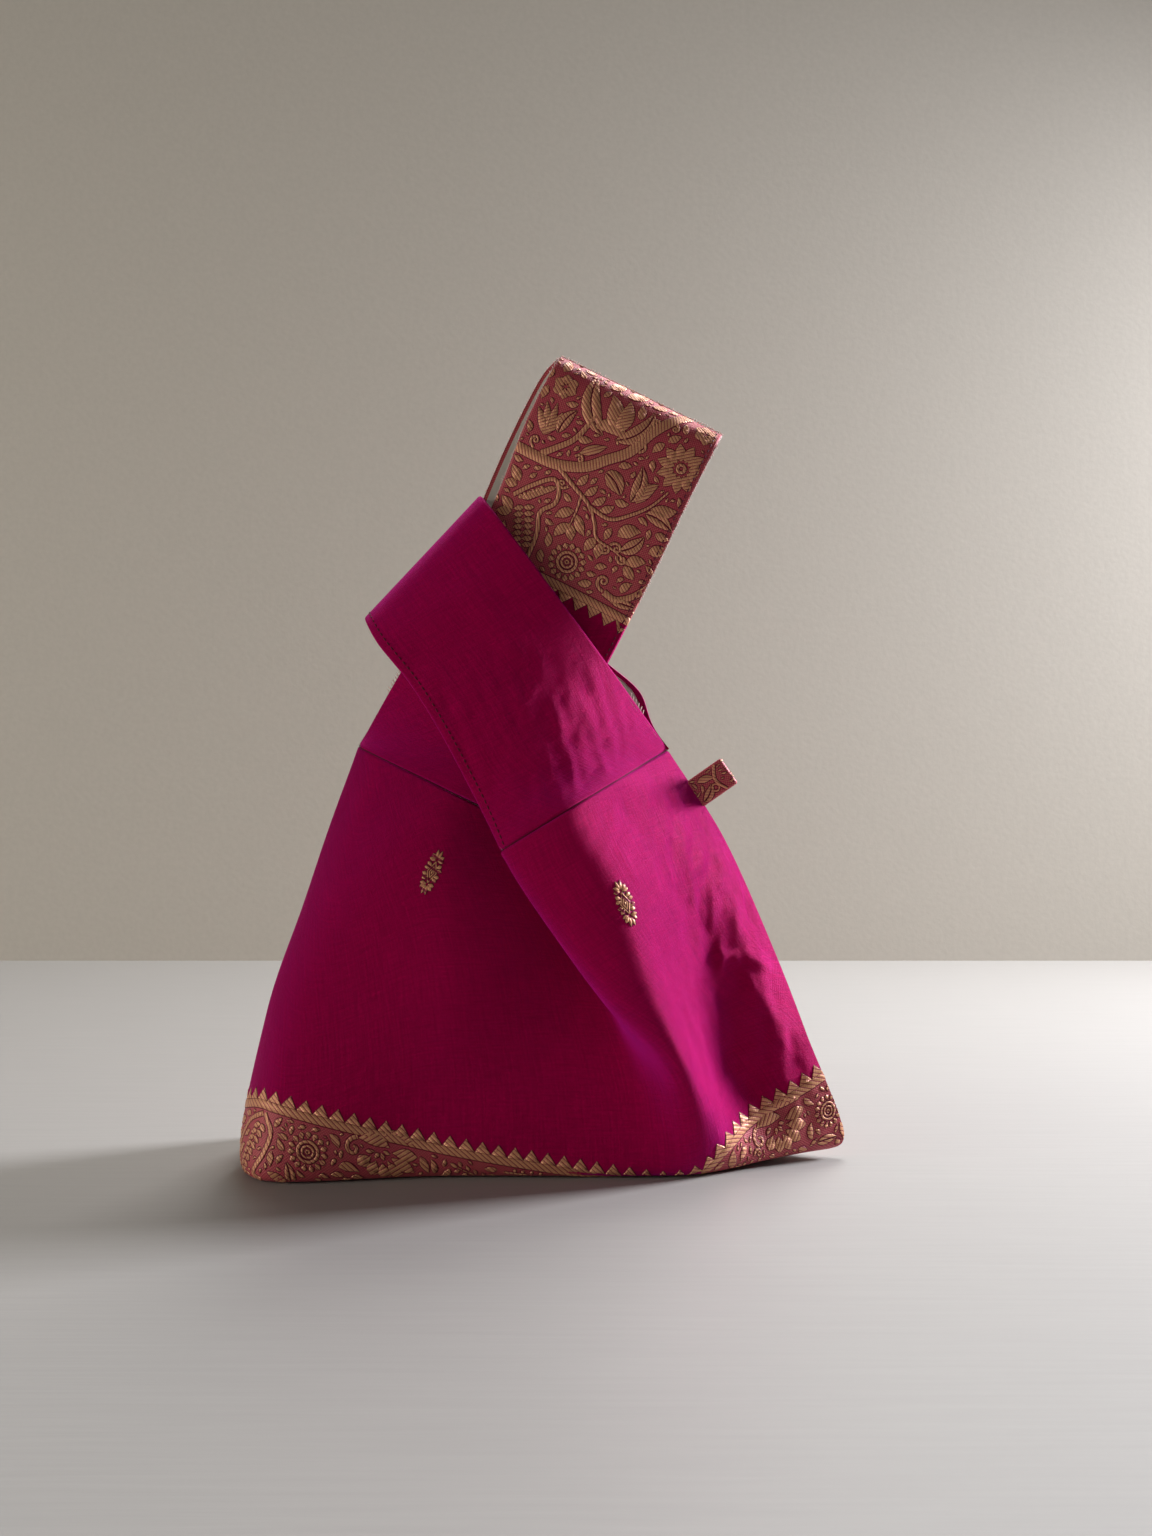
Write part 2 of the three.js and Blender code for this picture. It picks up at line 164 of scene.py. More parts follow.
# Unevenness of the cloth: height in mm, stretch across and up, size in mm and seed
PANEL_SWELL = ((0.55, 1, 1, 48, 4),)
PANEL_CRINKLES = ((0.32, 1.5, 0.7, 15, 6), (0.13, 1, 1, 7, 7))
STRAP_CRINKLES = ((0.26, 1.5, 0.7, 13, 8), (0.11, 1, 1, 7, 9))
WAVES = 7                        # waves that make up one kind of unevenness
WAVE_STRETCH = (0.7, 1.5)        # shortest and longest wave, as parts of its size
CRINKLE_START = 5.9              # guide number where the crinkles of the lit side begin
CRINKLE_GUIDES = 0.7             # guides over which they grow to their height
CRINKLE_TOP = 215                # height where the crinkles of the short strap end, mm
CRINKLE_FADE = 20                # height over which they fade, mm
PANEL_CALM = (("left", 14), ("right", 10), ("top", 9))    # the cloth lies flatter this near an edge, mm
FOOT_CALM = 14                   # and this near the floor edge
STRAP_CALM = 8                   # and this near an edge of the short strap

# Sewing details, mm
LAYER_GAP = 0.3
SEAM_HALF = 0.1                  # each panel stops this far short of the middle plane
GROOVE_DEPTH = 0.9
GROOVE_WIDTH = 0.55
SEAM_SPLITS = (0.2, 0.4, 0.65)   # extra rows beside a seam, as parts of the step that ends there
EDGE_TURN = (0, 0.12, 0.35, 0.7, 1.15, 1.8)    # columns in the turn of a strap's edge
EDGE_EVEN = 2.8                  # where a strap's evenly spaced columns begin
PANEL_LEAST = 0.1                # least thickness of a panel where it dips into a seam
STRAP_LEAST = 0.05               # the same for a strap and the tab
LINING_INSET = 1.6               # the lining stops this far inside a turned edge
SHARP_EDGE = math.radians(50)    # faces that meet at a wider angle get a hard edge
SIDES = ("front", "back")

# Woven figures: lengths in mm
RELIEF = 0.28                    # height of the figures
SINK = -0.12                     # their undersides lie this far inside the cloth
OUTLINE = 0.42                   # width of the dark rim round a figure
OUTLINE_RELIEF = 0.08            # height of that rim
SLANT = 35                       # degrees of the figures' yarn stripes
CROSS_SLANT = -40                # degrees of the stripes on petals that stand out from their neighbours
STEM_SLANT = 60                  # degrees of the stripes on stems and tendrils
SLOPE = 0.35                     # width of a ridge's sloping side
FLAT_TOP = (0.35, 0.85)          # least and most part of a ridge that is flat on top
FULL_HEIGHT = 0.5                # half width from which a figure has its full height
LEAST_HEIGHT = 0.35              # part of the height that the thinnest figure has
FILL_REACH = (0.55, 1.25)        # shortest and longest fill leaf, as parts of its size
FILL_WIDTH = 0.42                # width of a fill leaf, as a part of its length
FILL_BEND = 0.15                 # most bend of a fill leaf
LEAF_POINTS = 9
LEAF_TIP = 0.07                  # half width that a leaf keeps at its ends
LEAF_VEIN = 0.12                 # half the gap between the halves of a split leaf
TOOTH_TIP = 0.05                 # half width of a tooth's point
STEM_STEP = 1.5                  # from point to point of a stem
CURL_POINTS = 24
SPRAY_STEM = 1.3                 # stem of a spray
SPRAY_ANGLE = math.radians(48)   # between that stem and its leaves
ABOVE_FLOOR = 0.02               # least height of a figure above the floor
NET_PITCH = 1.15                 # gold net of the brocade's ground
YARN_ROW = 1.75                  # row to row of gold yarn
YARN_PICK = 1.0                  # pick to pick along a row
TAB_TRIES = 300                  # tries at each size of fill leaf on the tab
STRAP_TRIES = 2500               # the same on a strap
BORDER_TRIES = 5000              # the same on a border
STRAP_FILL = ((11, 9.0), (12, 6.5), (13, 4.5), (14, 3.0))      # seed and size of the fill leaves
BORDER_FILL = ((0, 7.5), (10, 5.5), (20, 4.0), (30, 2.8))      # the same, with what is added to the seed
BORDER_RIM = 0.3                 # the border's figures stop this far from the side seams
BORDER_OVER = 1.2                # and run this far over the floor edge
BORDER_DEEP = 40.0               # deepest place that a border may reach below its teeth
BORDER_SEEDS = {"front": 21, "back": 22}

# Limits of the sums
TINY = 1e-9                      # keeps a division from zero
SAME_PLACE = 1e-4                # curve points with a smaller root of their distance count as one
HALVINGS = 18                    # steps in the search for a place along one row or column
ROUNDS = 4                       # turns of the search between rows and columns

# Sprigs: name, x, z, the guides that each lies between, and its lean in degrees
SPRIGS = (("left_sprig", -44.9, 120.6, 1, 3.9, 22), ("right_sprig", 31.6, 109.6, 5, 8, -20))

# Camera as found from the photograph: place in mm before the part was centred, and focal length in pixels
CAMERA = (12.5, -608.0, 162.1)
FOCAL_PIXELS = 1459
PHOTO_HEIGHT = 1536
SENSOR = 36.0                    # film height, mm

# Stage in metres, and lamps: name, place, size, power in watts, tint and spread
STAGE_HALF = 2.4
STAGE_FRONT = -2.2
STAGE_TOP = 2.4
WALL_PLACE = 0.62
FLOOR_DROP = 0.0001              # the floor lies this far below the bag
TABLE = ((0.315, 0.3, 0.275), 0.5, (0.4, 9, 1))       # colour, roughness and stretch of the grain
PLASTER = ((0.54, 0.5, 0.427), 0.8, (6, 6, 6))        # the same for the wall
LAMP_AIM = (0.0, 0.0, 0.12)      # where the lamps look
LAMPS = (
    ("window", (1.15, 0.42, 0.62), 0.35, 16.8, (0.95, 0.97, 1.07), 2.0),
    ("back_window", (0.3, 0.8, 1.5), 0.7, 23.0, (0.98, 0.98, 1.0), math.pi),
    ("room", (-1.5, -0.65, 0.45), 0.9, 11.2, (1.0, 0.95, 0.87), math.pi),
)
ROOM_LIGHT = 0.08                # strength of the even light from all round


def length(name, description, millimetres):
    """A size that a user may change, held in metres."""
    return bpy.props.FloatProperty(
        name=name, description=description, default=millimetres * MM, unit="LENGTH", precision=4)


def colour(name, description, rgb):
    """A cloth or thread colour that a user may change."""
    return bpy.props.FloatVectorProperty(
        name=name, description=description, default=rgb, subtype="COLOR", size=3, min=0, max=1)


class KnotBagSizes(bpy.types.PropertyGroup):
    """Sizes of the bag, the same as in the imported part."""

    base_width: length("Base width", "Left to right at the floor", 246)
    base_depth: length("Base depth", "Front to back at the floor, deepest end", 76)
    body_height: length("Body height", "Floor to the strap seams at the sides", 170)
    ear_lift: length("Ear lift", "Height of the right bottom corner above the floor", 5)
    fold_radius: length("Fold radius", "Soft edge between wall and underside", 5)
    left_shoulder: length("Left shoulder", "Middle to the left end of the long strap's seam", -78)
    long_length: length("Long strap length", "Left armhole to the top seam", 155)
    long_width: length("Long strap width", "Edge to edge", 75)
    loop_half_depth: length("Loop half depth", "Middle plane to the outer face of the loop", 10)
    short_width: length("Short strap width", "Edge to edge", 70)
    short_slack: length("Short strap slack", "Leg length beyond what the long strap fills", 26)
    knot_clearance: length("Knot clearance", "Air between the two straps", 3)
    fold_clearance: length("Fold clearance", "Short strap's fold to the long strap's edge", 4)
    back_shift: length("Back leg shift", "How far to the left the back leg of the loop sits", 5)
    left_rise: length("Left armhole rise", "Strap seam up to the left armhole", 26)
    left_across: length("Left armhole across", "Strap seam across to the left armhole", 14)
    right_rise: length("Right armhole rise", "Strap seam up to the right armhole", 18)
    right_across: length("Right armhole across", "Strap seam across to the right armhole", 13)
    tab_length: length("Tab length", "Side seam to the tab's fold", 16)
    tab_width: length("Tab width", "Across the tab", 12.5)
    cloth: length("Cloth", "Thickness of the outer cloth with its seam allowance", 1.0)
    lining: length("Lining", "Thickness of the lining", 0.8)
    tooth_pitch: length("Tooth pitch", "Border tooth to border tooth", 6.5)
    tooth_height: length("Tooth height", "Height of a border tooth", 4.4)
    band_width: length("Band width", "Striped band behind the teeth", 3.6)
    brocade_length: length("Brocade length", "Top seam down to the teeth on the long strap", 92.5)
    stitch_pitch: length("Stitch pitch", "Topstitch to topstitch", 2.6)
    thread_width: length("Thread width", "Thickness of the sewing thread", 0.6)


class KnotBagColours(bpy.types.PropertyGroup):
    """Colours of the bag's cloth and threads."""

    warp: colour("Silk warp", "Upright threads of the silk", (0.68, 0.001, 0.088))
    weft: colour("Silk weft", "Level threads of the silk", (0.58, 0.001, 0.066))
    ground: colour("Brocade ground", "Cloth behind the gold figures", (0.5, 0.018, 0.075))
    gold: colour("Gold yarn", "Raised figures of the brocade", (0.86, 0.46, 0.21))
    lining: colour("Lining", "Plain lining cloth", (0.46, 0.4, 0.31))
    outline: colour("Outline", "Dark rims of the gold figures", (0.13, 0.003, 0.022))
    thread: colour("Sewing thread", "Topstitches", (0.1, 0.002, 0.02))
    fray: colour("Frayed thread", "Loose yarn ends at cut edges", (0.85, 0.62, 0.56))


def measures():
    """The bag's sizes in millimetres, with the places that follow from them."""
    sizes = bpy.context.scene.knot_bag_sizes
    m = SimpleNamespace(**{name: getattr(sizes, name) / MM for name in KnotBagSizes.__annotations__})
    m.layers = m.cloth + LAYER_GAP + m.lining
    m.knot_half_depth = m.loop_half_depth + m.knot_clearance + m.layers
    knot_angle = math.pi / 2 - LONG_LEAN + SHORT_LEAN
    m.short_length = m.long_width / math.cos(knot_angle) + m.short_slack
    m.left_armhole = (m.left_shoulder + m.left_across, m.body_height + m.left_rise)
    height = m.body_height + m.right_rise
    fold_height = height + m.short_length * math.cos(SHORT_LEAN)
    edge_at_fold = m.left_armhole[0] + (fold_height - m.left_armhole[1]) * math.tan(LONG_LEAN)
    m.right_armhole = (edge_at_fold - m.fold_clearance - m.short_length * math.sin(SHORT_LEAN), height)
    m.right_shoulder = m.right_armhole[0] + m.right_across
    m.shift = frame_shift(m)
    return m


def through(points, shares):
    """Points of a centripetal curve through the rows of `points`, at shares of the way by row number."""
    points = np.asarray(points, float)
    before = 2 * points[:1] - points[1:2]
    after = 2 * points[-1:] - points[-2:-1]
    p = np.concatenate([before, points, after])
    place = np.clip(np.asarray(shares, float), 0, 1) * (len(points) - 1)
    first = np.minimum(place.astype(int), len(points) - 2)
    w = (place - first).reshape(-1, *[1] * (points.ndim - 1))
    p0, p1, p2, p3 = (p[first + k] for k in range(4))
    d0, d1, d2 = (np.sqrt(np.linalg.norm(b - a, axis=-1, keepdims=True))
                  for a, b in ((p0, p1), (p1, p2), (p2, p3)))
    d1 = np.where(d1 < SAME_PLACE, 1, d1)
    d0 = np.where(d0 < SAME_PLACE, d1, d0)
    d2 = np.where(d2 < SAME_PLACE, d1, d2)
    start = ((p1 - p0) / d0 - (p2 - p0) / (d0 + d1) + (p2 - p1) / d1) * d1
    end = ((p2 - p1) / d1 - (p3 - p1) / (d1 + d2) + (p3 - p2) / d2) * d1
    square = 3 * p2 - 3 * p1 - 2 * start - end
    cube = 2 * p1 - 2 * p2 + start + end
    return p1 + start * w + square * w**2 + cube * w**3


def spread(steps):
    """Shares along a curve with the given steps between neighbouring points."""
    shares = [(index + step / count) / len(steps)
              for index, count in enumerate(steps) for step in range(count)]
    return np.array([*shares, 1.0])


def beside_seams(shares, first=False, last=False):
    """The shares with more rows beside a seam at the first or the last one."""
    splits = np.array(SEAM_SPLITS)
    groups = [shares]
    if first:
        groups.append(shares[0] + (shares[1] - shares[0]) * splits)
    if last:
        groups.append(shares[-1] - (shares[-1] - shares[-2]) * splits)
    return np.sort(np.concatenate(groups))


def arc_lengths(points, axis):
    """Length along the grid from its first row or column to each point."""
    steps = np.linalg.norm(np.diff(points, axis=axis), axis=-1)
    start = np.zeros_like(np.take(steps, [0], axis=axis))
    return np.concatenate([start, np.cumsum(steps, axis=axis)], axis=axis)


def body_point(m, across, y, z):
    """A place on the body from its shares of the width, half depth and height, in mm."""
    left = -m.base_width / 2 + (m.left_shoulder + m.base_width / 2) * z
    right = m.base_width / 2 + (m.right_shoulder - m.base_width / 2) * z
    return np.array([left + across * (right - left), y * m.base_depth / 2, z * m.body_height])


def guide_points(m, guide):
    """A guide's points from the bottom seam over the floor edge and up the wall."""
    height = guide["lift"] * m.ear_lift
    keel = body_point(m, guide["keel"], 0, 0)
    foot = body_point(m, *guide["foot"], 0)
    inward = keel - foot
    heel = foot + inward * m.fold_radius / np.linalg.norm(inward)
    keel[2] = heel[2] = height
    foot[2] = height * EAR_SLOPE + FOOT_RISE * m.fold_radius
    return np.array([keel, heel, foot, *(body_point(m, *point) for point in guide["wall"])])


def panel_points(m, rows, columns):
    """The outer face of the front panel, bottom seam first, left side seam first."""
    guides = np.stack([guide_points(m, guide) for guide in GUIDES], axis=1)
    along = through(guides, rows)
    points = through(along.transpose(1, 0, 2), columns).transpose(1, 0, 2)
    points[..., 1] = np.minimum(points[..., 1], -SEAM_HALF)
    points[..., 2] = np.maximum(points[..., 2], 0)
    return points


def station_rows(stations, start, lean, reach, half_depth, width, back_shift, shares):
    """Cross lines of a strap, armhole edge first."""
    rows = []
    for along, armhole, neck, crown, tilt, wide, inset, shift in stations:
        tilt = math.radians(tilt)
        x = start[0] + along * reach * math.sin(lean) + inset - shift * back_shift
        z = start[1] + along * reach * math.cos(lean)
        out = shares * width * wide
        depth = (armhole + (neck - armhole) * shares) * half_depth - crown * 4 * shares * (1 - shares)
        side = math.copysign(math.cos(tilt), lean)
        depth = np.minimum(depth, -SEAM_HALF)
        rows.append(np.stack([x + side * out, depth, z - math.sin(tilt) * out], axis=-1))
    return rows


def edge_shares(width, inset=0.0):
    """Shares across a strap, closer together where the edge is turned."""
    turn = np.array(EDGE_TURN)
    middle = np.linspace(EDGE_EVEN, width - EDGE_EVEN, STRAP_COLUMNS)
    places = np.concatenate([turn, middle, width - turn[::-1]])
    return np.clip(places, inset, width - inset) / width


def long_strap_points(m, shares, back_shift):
    """Armhole edge first, from the panel's seam up to the top seam."""
    top = panel_points(m, np.array([1.0]), shares * LONG_STRAP_END / LAST_GUIDE)[0]
    stations = station_rows(LONG_STATIONS, m.left_armhole, LONG_LEAN, m.long_length, m.loop_half_depth,
                            m.long_width, back_shift, shares)
    return through([top, *stations], beside_seams(spread(LONG_STEPS), first=True))


def short_strap_points(m, shares):
    """Neckline edge first, from the front seam round the knot to the back seam."""
    start = SHORT_STRAP_START / LAST_GUIDE
    top = panel_points(m, np.array([1.0]), start + shares * (1 - start))[0]
    stations = station_rows(SHORT_STATIONS, m.right_armhole, SHORT_LEAN, m.short_length, m.knot_half_depth,
                            m.short_width, 0, 1 - shares)
    front = [top, *stations]
    front[-1][:, 1] = 0
    back = [row * MIRROR for row in front[-2::-1]]
    points = through([*front, *back], beside_seams(spread(SHORT_STEPS), first=True, last=True))
    above_armhole = (points[..., 2] - m.right_armhole[1] - ARMHOLE_GAPE[1]) / ARMHOLE_GAPE[2]
    points[..., 0] += ARMHOLE_GAPE[0] * (points[..., 1] > 0) * shares**3 * np.exp(-above_armhole**2)
    return points


def frame_shift(m):
    """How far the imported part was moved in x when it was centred, mm."""
    left = panel_points(m, spread(PACKED_WALL_STEPS), spread(PACKED_COLUMN_STEPS))[..., 0].min()
    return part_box("body_front")[0].x / MM - left


def turned_edge(distance, radius):
    """Depth of a turned edge, from the radius at the edge itself to nothing one radius in."""
    inside = np.clip(radius - distance, 0, radius)
    return radius - np.sqrt(np.maximum(radius**2 - inside**2, 0))


def bump_noise(across, up, size, seed):
    """Smooth unevenness between about -1 and 1, with features of the given size."""
    draw = np.random.default_rng(seed)
    total = np.zeros_like(across)
    for _ in range(WAVES):
        angle = draw.uniform(0, 2 * math.pi)
        phase = draw.uniform(0, 2 * math.pi)
        stretch = draw.uniform(*WAVE_STRETCH)
        along = across * math.cos(angle) + up * math.sin(angle)
        total += np.sin(along * 2 * math.pi / (size * stretch) + phase)
    return total / (WAVES / 2)


def unevenness(sheet, kinds):
    """Height of the cloth's own unevenness at each point of a sheet, in mm."""
    return sum(height * bump_noise(sheet.across * wide, sheet.up * tall, size, seed)
               for height, wide, tall, size, seed in kinds)


def fold_heights(points, folds):
    """Rise of the cloth at listed folds, each highest on its line and fading to its sides and ends."""
    total = np.zeros(points.shape[:2])
    flat = points[..., [0, 2]]
    for line, width, height in folds:
        line = np.array(line, float)
        nearest = np.full(points.shape[:2], np.inf)
        for start, end in zip(line, line[1:]):
            way = end - start
            share = np.clip(((flat - start) @ way) / (way @ way), 0, 1)
            nearest = np.minimum(nearest, np.linalg.norm(flat - start - share[..., None] * way, axis=-1))
        total += height * np.exp(-(nearest / width) ** 2)
    return total


class Sheet:
    """A piece of cloth as a grid of points on its outer face: rows run up, columns to the right.

    `mirrored` edges lie in the middle plane, `sewn` ones dip into a seam, `free` ones are turned in.
    """

    def __init__(self, points, mirrored=(), sewn=(), free=()):
        self.flipped = False
        self.mirrored = mirrored
        self.sewn = sewn
        self.free = free
        self.set_points(points)

    def set_points(self, points):
        """Takes new points and measures the sheet again."""
        self.points = points
        self.across = arc_lengths(points, 1)
        self.up = arc_lengths(points, 0)
        self.normals = self.find_normals()
        self.edges = {
            "left": self.across, "right": self.across[:, -1:] - self.across,
            "bottom": self.up, "top": self.up[-1:] - self.up,
        }

    def find_normals(self):
        """Outward directions, from each point's neighbours or their mirror images."""
        def widened(points, low, high):
            first = points[1:2] * MIRROR if low in self.mirrored else 2 * points[:1] - points[1:2]
            last = points[-2:-1] * MIRROR if high in self.mirrored else 2 * points[-1:] - points[-2:-1]
            return np.concatenate([first, points, last])
        tall = widened(self.points, "bottom", "top")
        wide = widened(self.points.transpose(1, 0, 2), "left", "right").transpose(1, 0, 2)
        normals = np.cross(wide[:, 2:] - wide[:, :-2], tall[2:] - tall[:-2])
        return normals / np.maximum(np.linalg.norm(normals, axis=-1, keepdims=True), TINY)

    def dip(self, radius):
        """How far the face lies inside the plain shape at seams and turned edges."""
        depth = np.zeros(self.points.shape[:2])
        for edge in (*self.mirrored, *self.sewn):
            depth += GROOVE_DEPTH * np.exp(-(self.edges[edge] / GROOVE_WIDTH) ** 2)
        for edge in self.free:
            depth = np.maximum(depth, turned_edge(self.edges[edge], radius))
        return depth

    def face(self, depth):
        """The sheet's points moved inward by a depth in mm."""
        moved = self.points - self.normals * np.broadcast_to(depth, self.points.shape[:2])[..., None]
        if self.mirrored:
            way = 1 if self.flipped else -1
            moved[..., 1] = way * (way * moved[..., 1]).clip(min=SEAM_HALF)
        return moved

    def other_side(self):
        """The same piece on the back of the bag."""
        back = Sheet.__new__(Sheet)
        back.__dict__.update(self.__dict__)
        back.points = self.points * MIRROR
        back.normals = self.normals * MIRROR
        back.flipped = not self.flipped
        return back

    def area(self):
        """Area of the outer face in square metres."""
        p = self.points
        cross = np.cross(p[1:, 1:] - p[:-1, :-1], p[1:, :-1] - p[:-1, 1:])
        return float(np.linalg.norm(cross, axis=-1).sum() / 2) * MM**2

    def flat(self):
        """Width and length of the cut before sewing, in metres."""
        return float(self.across[:, -1].max()) * MM, float(self.up[-1].max()) * MM


def bilinear(grid, row, column):
    """Readings of a grid at places between its rows and columns."""
    rows, columns = grid.shape[:2]
    r = np.clip(row.astype(int), 0, rows - 2)
    c = np.clip(column.astype(int), 0, columns - 2)
    extra = (1,) * (grid.ndim - 2)
    fr = (row - r).reshape(-1, *extra)
    fc = (column - c).reshape(-1, *extra)
    low = grid[r, c] * (1 - fc) + grid[r, c + 1] * fc
    high = grid[r + 1, c] * (1 - fc) + grid[r + 1, c + 1] * fc
    return low * (1 - fr) + high * fr


def solve(values, wanted, low, high, pick):
    """Places between low and high where a steadily growing reading reaches what is wanted."""
    low = np.full(len(wanted), float(low))
    high = np.full(len(wanted), float(high))
    for _ in range(HALVINGS):
        middle = (low + high) / 2
        below = bilinear(values, *pick(middle)) < wanted
        low = np.where(below, middle, low)
        high = np.where(below, high, middle)
    return (low + high) / 2


class Field:
    """Flat pattern places on a sheet: `a` grows to the right and `b` downward, both in mm."""

    def __init__(self, face, normals, a, b):
        self.face = face
        self.normals = normals
        self.a = np.broadcast_to(a, face.shape[:2])
        self.b = np.broadcast_to(b, face.shape[:2])

    def find(self, a, b):
        """Row and column of pattern places."""
        rows, columns = self.face.shape[:2]
        row = np.full(len(a), rows / 2)
        for _ in range(ROUNDS):
            column = solve(self.a, a, 0, columns - 1, lambda place: (row, place))
            row = solve(-self.b, -b, 0, rows - 1, lambda place: (place, column))
        return row, column

    def place(self, places):
        """Points in space of rows of pattern places with their heights."""
        row, column = self.find(places[:, 0], places[:, 1])
        return bilinear(self.face, row, column) + bilinear(self.normals, row, column) * places[:, 2:]


def direction(angle):
    """A step of length 1 in pattern places."""
    return np.array([math.cos(angle), math.sin(angle)])


def sideways(path):
    """Directions across a path, to its left."""
    tangent = np.gradient(path, axis=0)
    tangent /= np.maximum(np.linalg.norm(tangent, axis=1, keepdims=True), TINY)
    return np.stack([-tangent[:, 1], tangent[:, 0]], axis=1)


class Relief:
    """Raised woven figures, drawn flat in pattern mm and then laid on a sheet."""

    def __init__(self, a_range, b_range, floor=None, ground=None, yarn=1.0, bold=1.0):
        self.a_range = a_range
        self.b_range = b_range
        self.floor = floor
        self.ground = ground or b_range      # where the fill may lie
        self.yarn = yarn             # width of the yarn rows, as a part of the usual width
        self.bold = bold             # width of the leaves, as a part of the drawn width
        self.strokes = []

    def inside(self, path):
        """Which points of a path lie on the patterned ground."""
        good = (path[:, 0] >= self.a_range[0]) & (path[:, 0] <= self.a_range[1])
        good &= (path[:, 1] >= self.b_range[0]) & (path[:, 1] <= self.b_range[1])
        if self.floor is not None:
            good &= path[:, 1] <= self.floor(path[:, 0])
        return good

    def ribbon(self, path, half_width, slant=SLANT):
        """A low ridge along a path, as far as it lies inside the ground."""
        path = np.asarray(path, float)
        half = np.broadcast_to(np.asarray(half_width, float), (len(path),))
        keep = self.inside(path)
        if keep.sum() > 1:
            self.strokes.append((path[keep], half[keep], math.radians(slant)))

    def solid(self, path, half, slant, rim):
        """Points and yarn places of a closed ridge, or of the dark rim that lies round it."""
        side = sideways(path)
        wide = half + OUTLINE * rim
        shoulder = np.clip(1 - SLOPE / np.maximum(wide, 0.1), *FLAT_TOP)
        crown = RELIEF * np.clip(half / FULL_HEIGHT, LEAST_HEIGHT, 1)
        if rim:
            crown = np.full(len(path), OUTLINE_RELIEF)
        low = np.full(len(path), SINK)
        stripe_axes = np.array([(math.sin(slant), math.cos(slant)), (-math.cos(slant), math.sin(slant))])
        places, stripes = [], []
        for offset, lift in ((-wide, low), (-wide * shoulder, crown), (wide * shoulder, crown), (wide, low)):
            flat = path + side * offset[:, None]
            flat[:, 0] = flat[:, 0].clip(*self.a_range)
            flat[:, 1] = flat[:, 1].clip(*self.b_range)
            places.append(np.column_stack([flat, lift]))
            stripes.append(flat @ stripe_axes / self.yarn)
        return np.concatenate(places), np.concatenate(stripes)

    def leaf_path(self, base, tip, width, bend=0.0, full=0.85):
        """Middle line and half widths of a leaf; a larger `full` moves its broadest part to the tip."""
        base = np.array(base, float)
        axis = np.array(tip, float) - base
        side = np.array([-axis[1], axis[0]])
        t = np.linspace(0, 1, LEAF_POINTS)
        path = base + t[:, None] * axis + (4 * t * (1 - t))[:, None] * side * bend
        return path, width * self.bold / 2 * np.sin(np.pi * t**full) ** 0.9 + LEAF_TIP

    def leaf(self, base, tip, width, bend=0.0, full=0.85, split=False, slant=SLANT):
        """A leaf or petal, in two halves along its middle line when it is split."""
        path, half = self.leaf_path(base, tip, width, bend, full)
        if not split:
            self.ribbon(path, half, slant)
            return
        side = sideways(path)
        for way in (-1, 1):
            self.ribbon(path + side * way * (half / 2 + LEAF_VEIN)[:, None], half / 2, slant)

    def stem(self, points, width, thin=1.0):
        """A stem through the given points, its end as thin as the given share."""
        count = max(6, int(np.linalg.norm(np.diff(points, axis=0), axis=1).sum() / STEM_STEP))
        t = np.linspace(0, 1, count)
        self.ribbon(through(points, t), width / 2 * (1 + (thin - 1) * t), STEM_SLANT)

    def curl(self, start, heading, size, turn=1, width=1.5, wind=1.35):
        """A tendril that winds up; the heading is in degrees, 0 to the right and 90 down."""
        t = np.linspace(0, 1, CURL_POINTS)
        angle = math.radians(heading) + turn * 2 * math.pi * wind * t**1.4
        step = size * 3.2 / CURL_POINTS * (1.25 - 0.8 * t)
        way = np.column_stack([np.cos(angle), np.sin(angle)])
        path = np.array(start, float) + np.cumsum(way * step[:, None], 0)
        self.ribbon(path, width / 2 * (1 - 0.35 * t), STEM_SLANT)

    def ring(self, centre, radius, width, count=26):
        """A round line."""
        angle = np.linspace(0, 2 * math.pi, count)
        circle = np.column_stack([np.cos(angle), np.sin(angle)])
        self.ribbon(np.array(centre) + radius * circle, width / 2)

    def petals(self, centre, inner, outer, count, width, turn=0.0, full=0.85, slant=SLANT):
        """A wreath of petals from an inner to an outer radius."""
        for k in range(count):
            way = direction(2 * math.pi * k / count + turn)
            self.leaf(centre + way * inner, centre + way * outer, width, full=full, slant=slant)

    def sunflower(self, centre, radius):
        """Three rings and a wreath of short petals."""
        centre = np.array(centre, float)
        for share, width, count in ((0.09, 0.12, 10), (0.29, 0.15, 26), (0.51, 0.19, 30)):
            self.ring(centre, radius * share, radius * width, count)
        self.petals(centre, radius * 0.64, radius * 1.02, 15, radius * 0.25, full=1.35)

    def blossom(self, centre, radius):
        """Six broad petals."""
        self.petals(np.array(centre, float), radius * 0.12, radius, 6, radius * 0.62, 0.3, full=1.3)

    def spray(self, points, leaves, size):
        """A stem with leaves in pairs and one at the tip."""
        points = np.array(points, float)
        self.stem(points, SPRAY_STEM, 0.5)
        shares = np.linspace(0.25, 0.92, leaves)
        places = through(points, shares)
        ways = through(points, np.minimum(shares + 0.03, 1)) - places
        ways /= np.linalg.norm(ways, axis=1, keepdims=True)
        for place, way in zip(places, ways):
            for side in (-1, 1):
                angle = side * SPRAY_ANGLE
                out = np.array([way[0] * math.cos(angle) - way[1] * math.sin(angle),
                                way[0] * math.sin(angle) + way[1] * math.cos(angle)])
                self.leaf(place + out * SPRAY_STEM * 0.7, place + out * size, size * 0.42, side * 0.08)
        last = points[-1]
        self.leaf(last + ways[-1] * 0.4, last + ways[-1] * size * 1.1, size * 0.45)

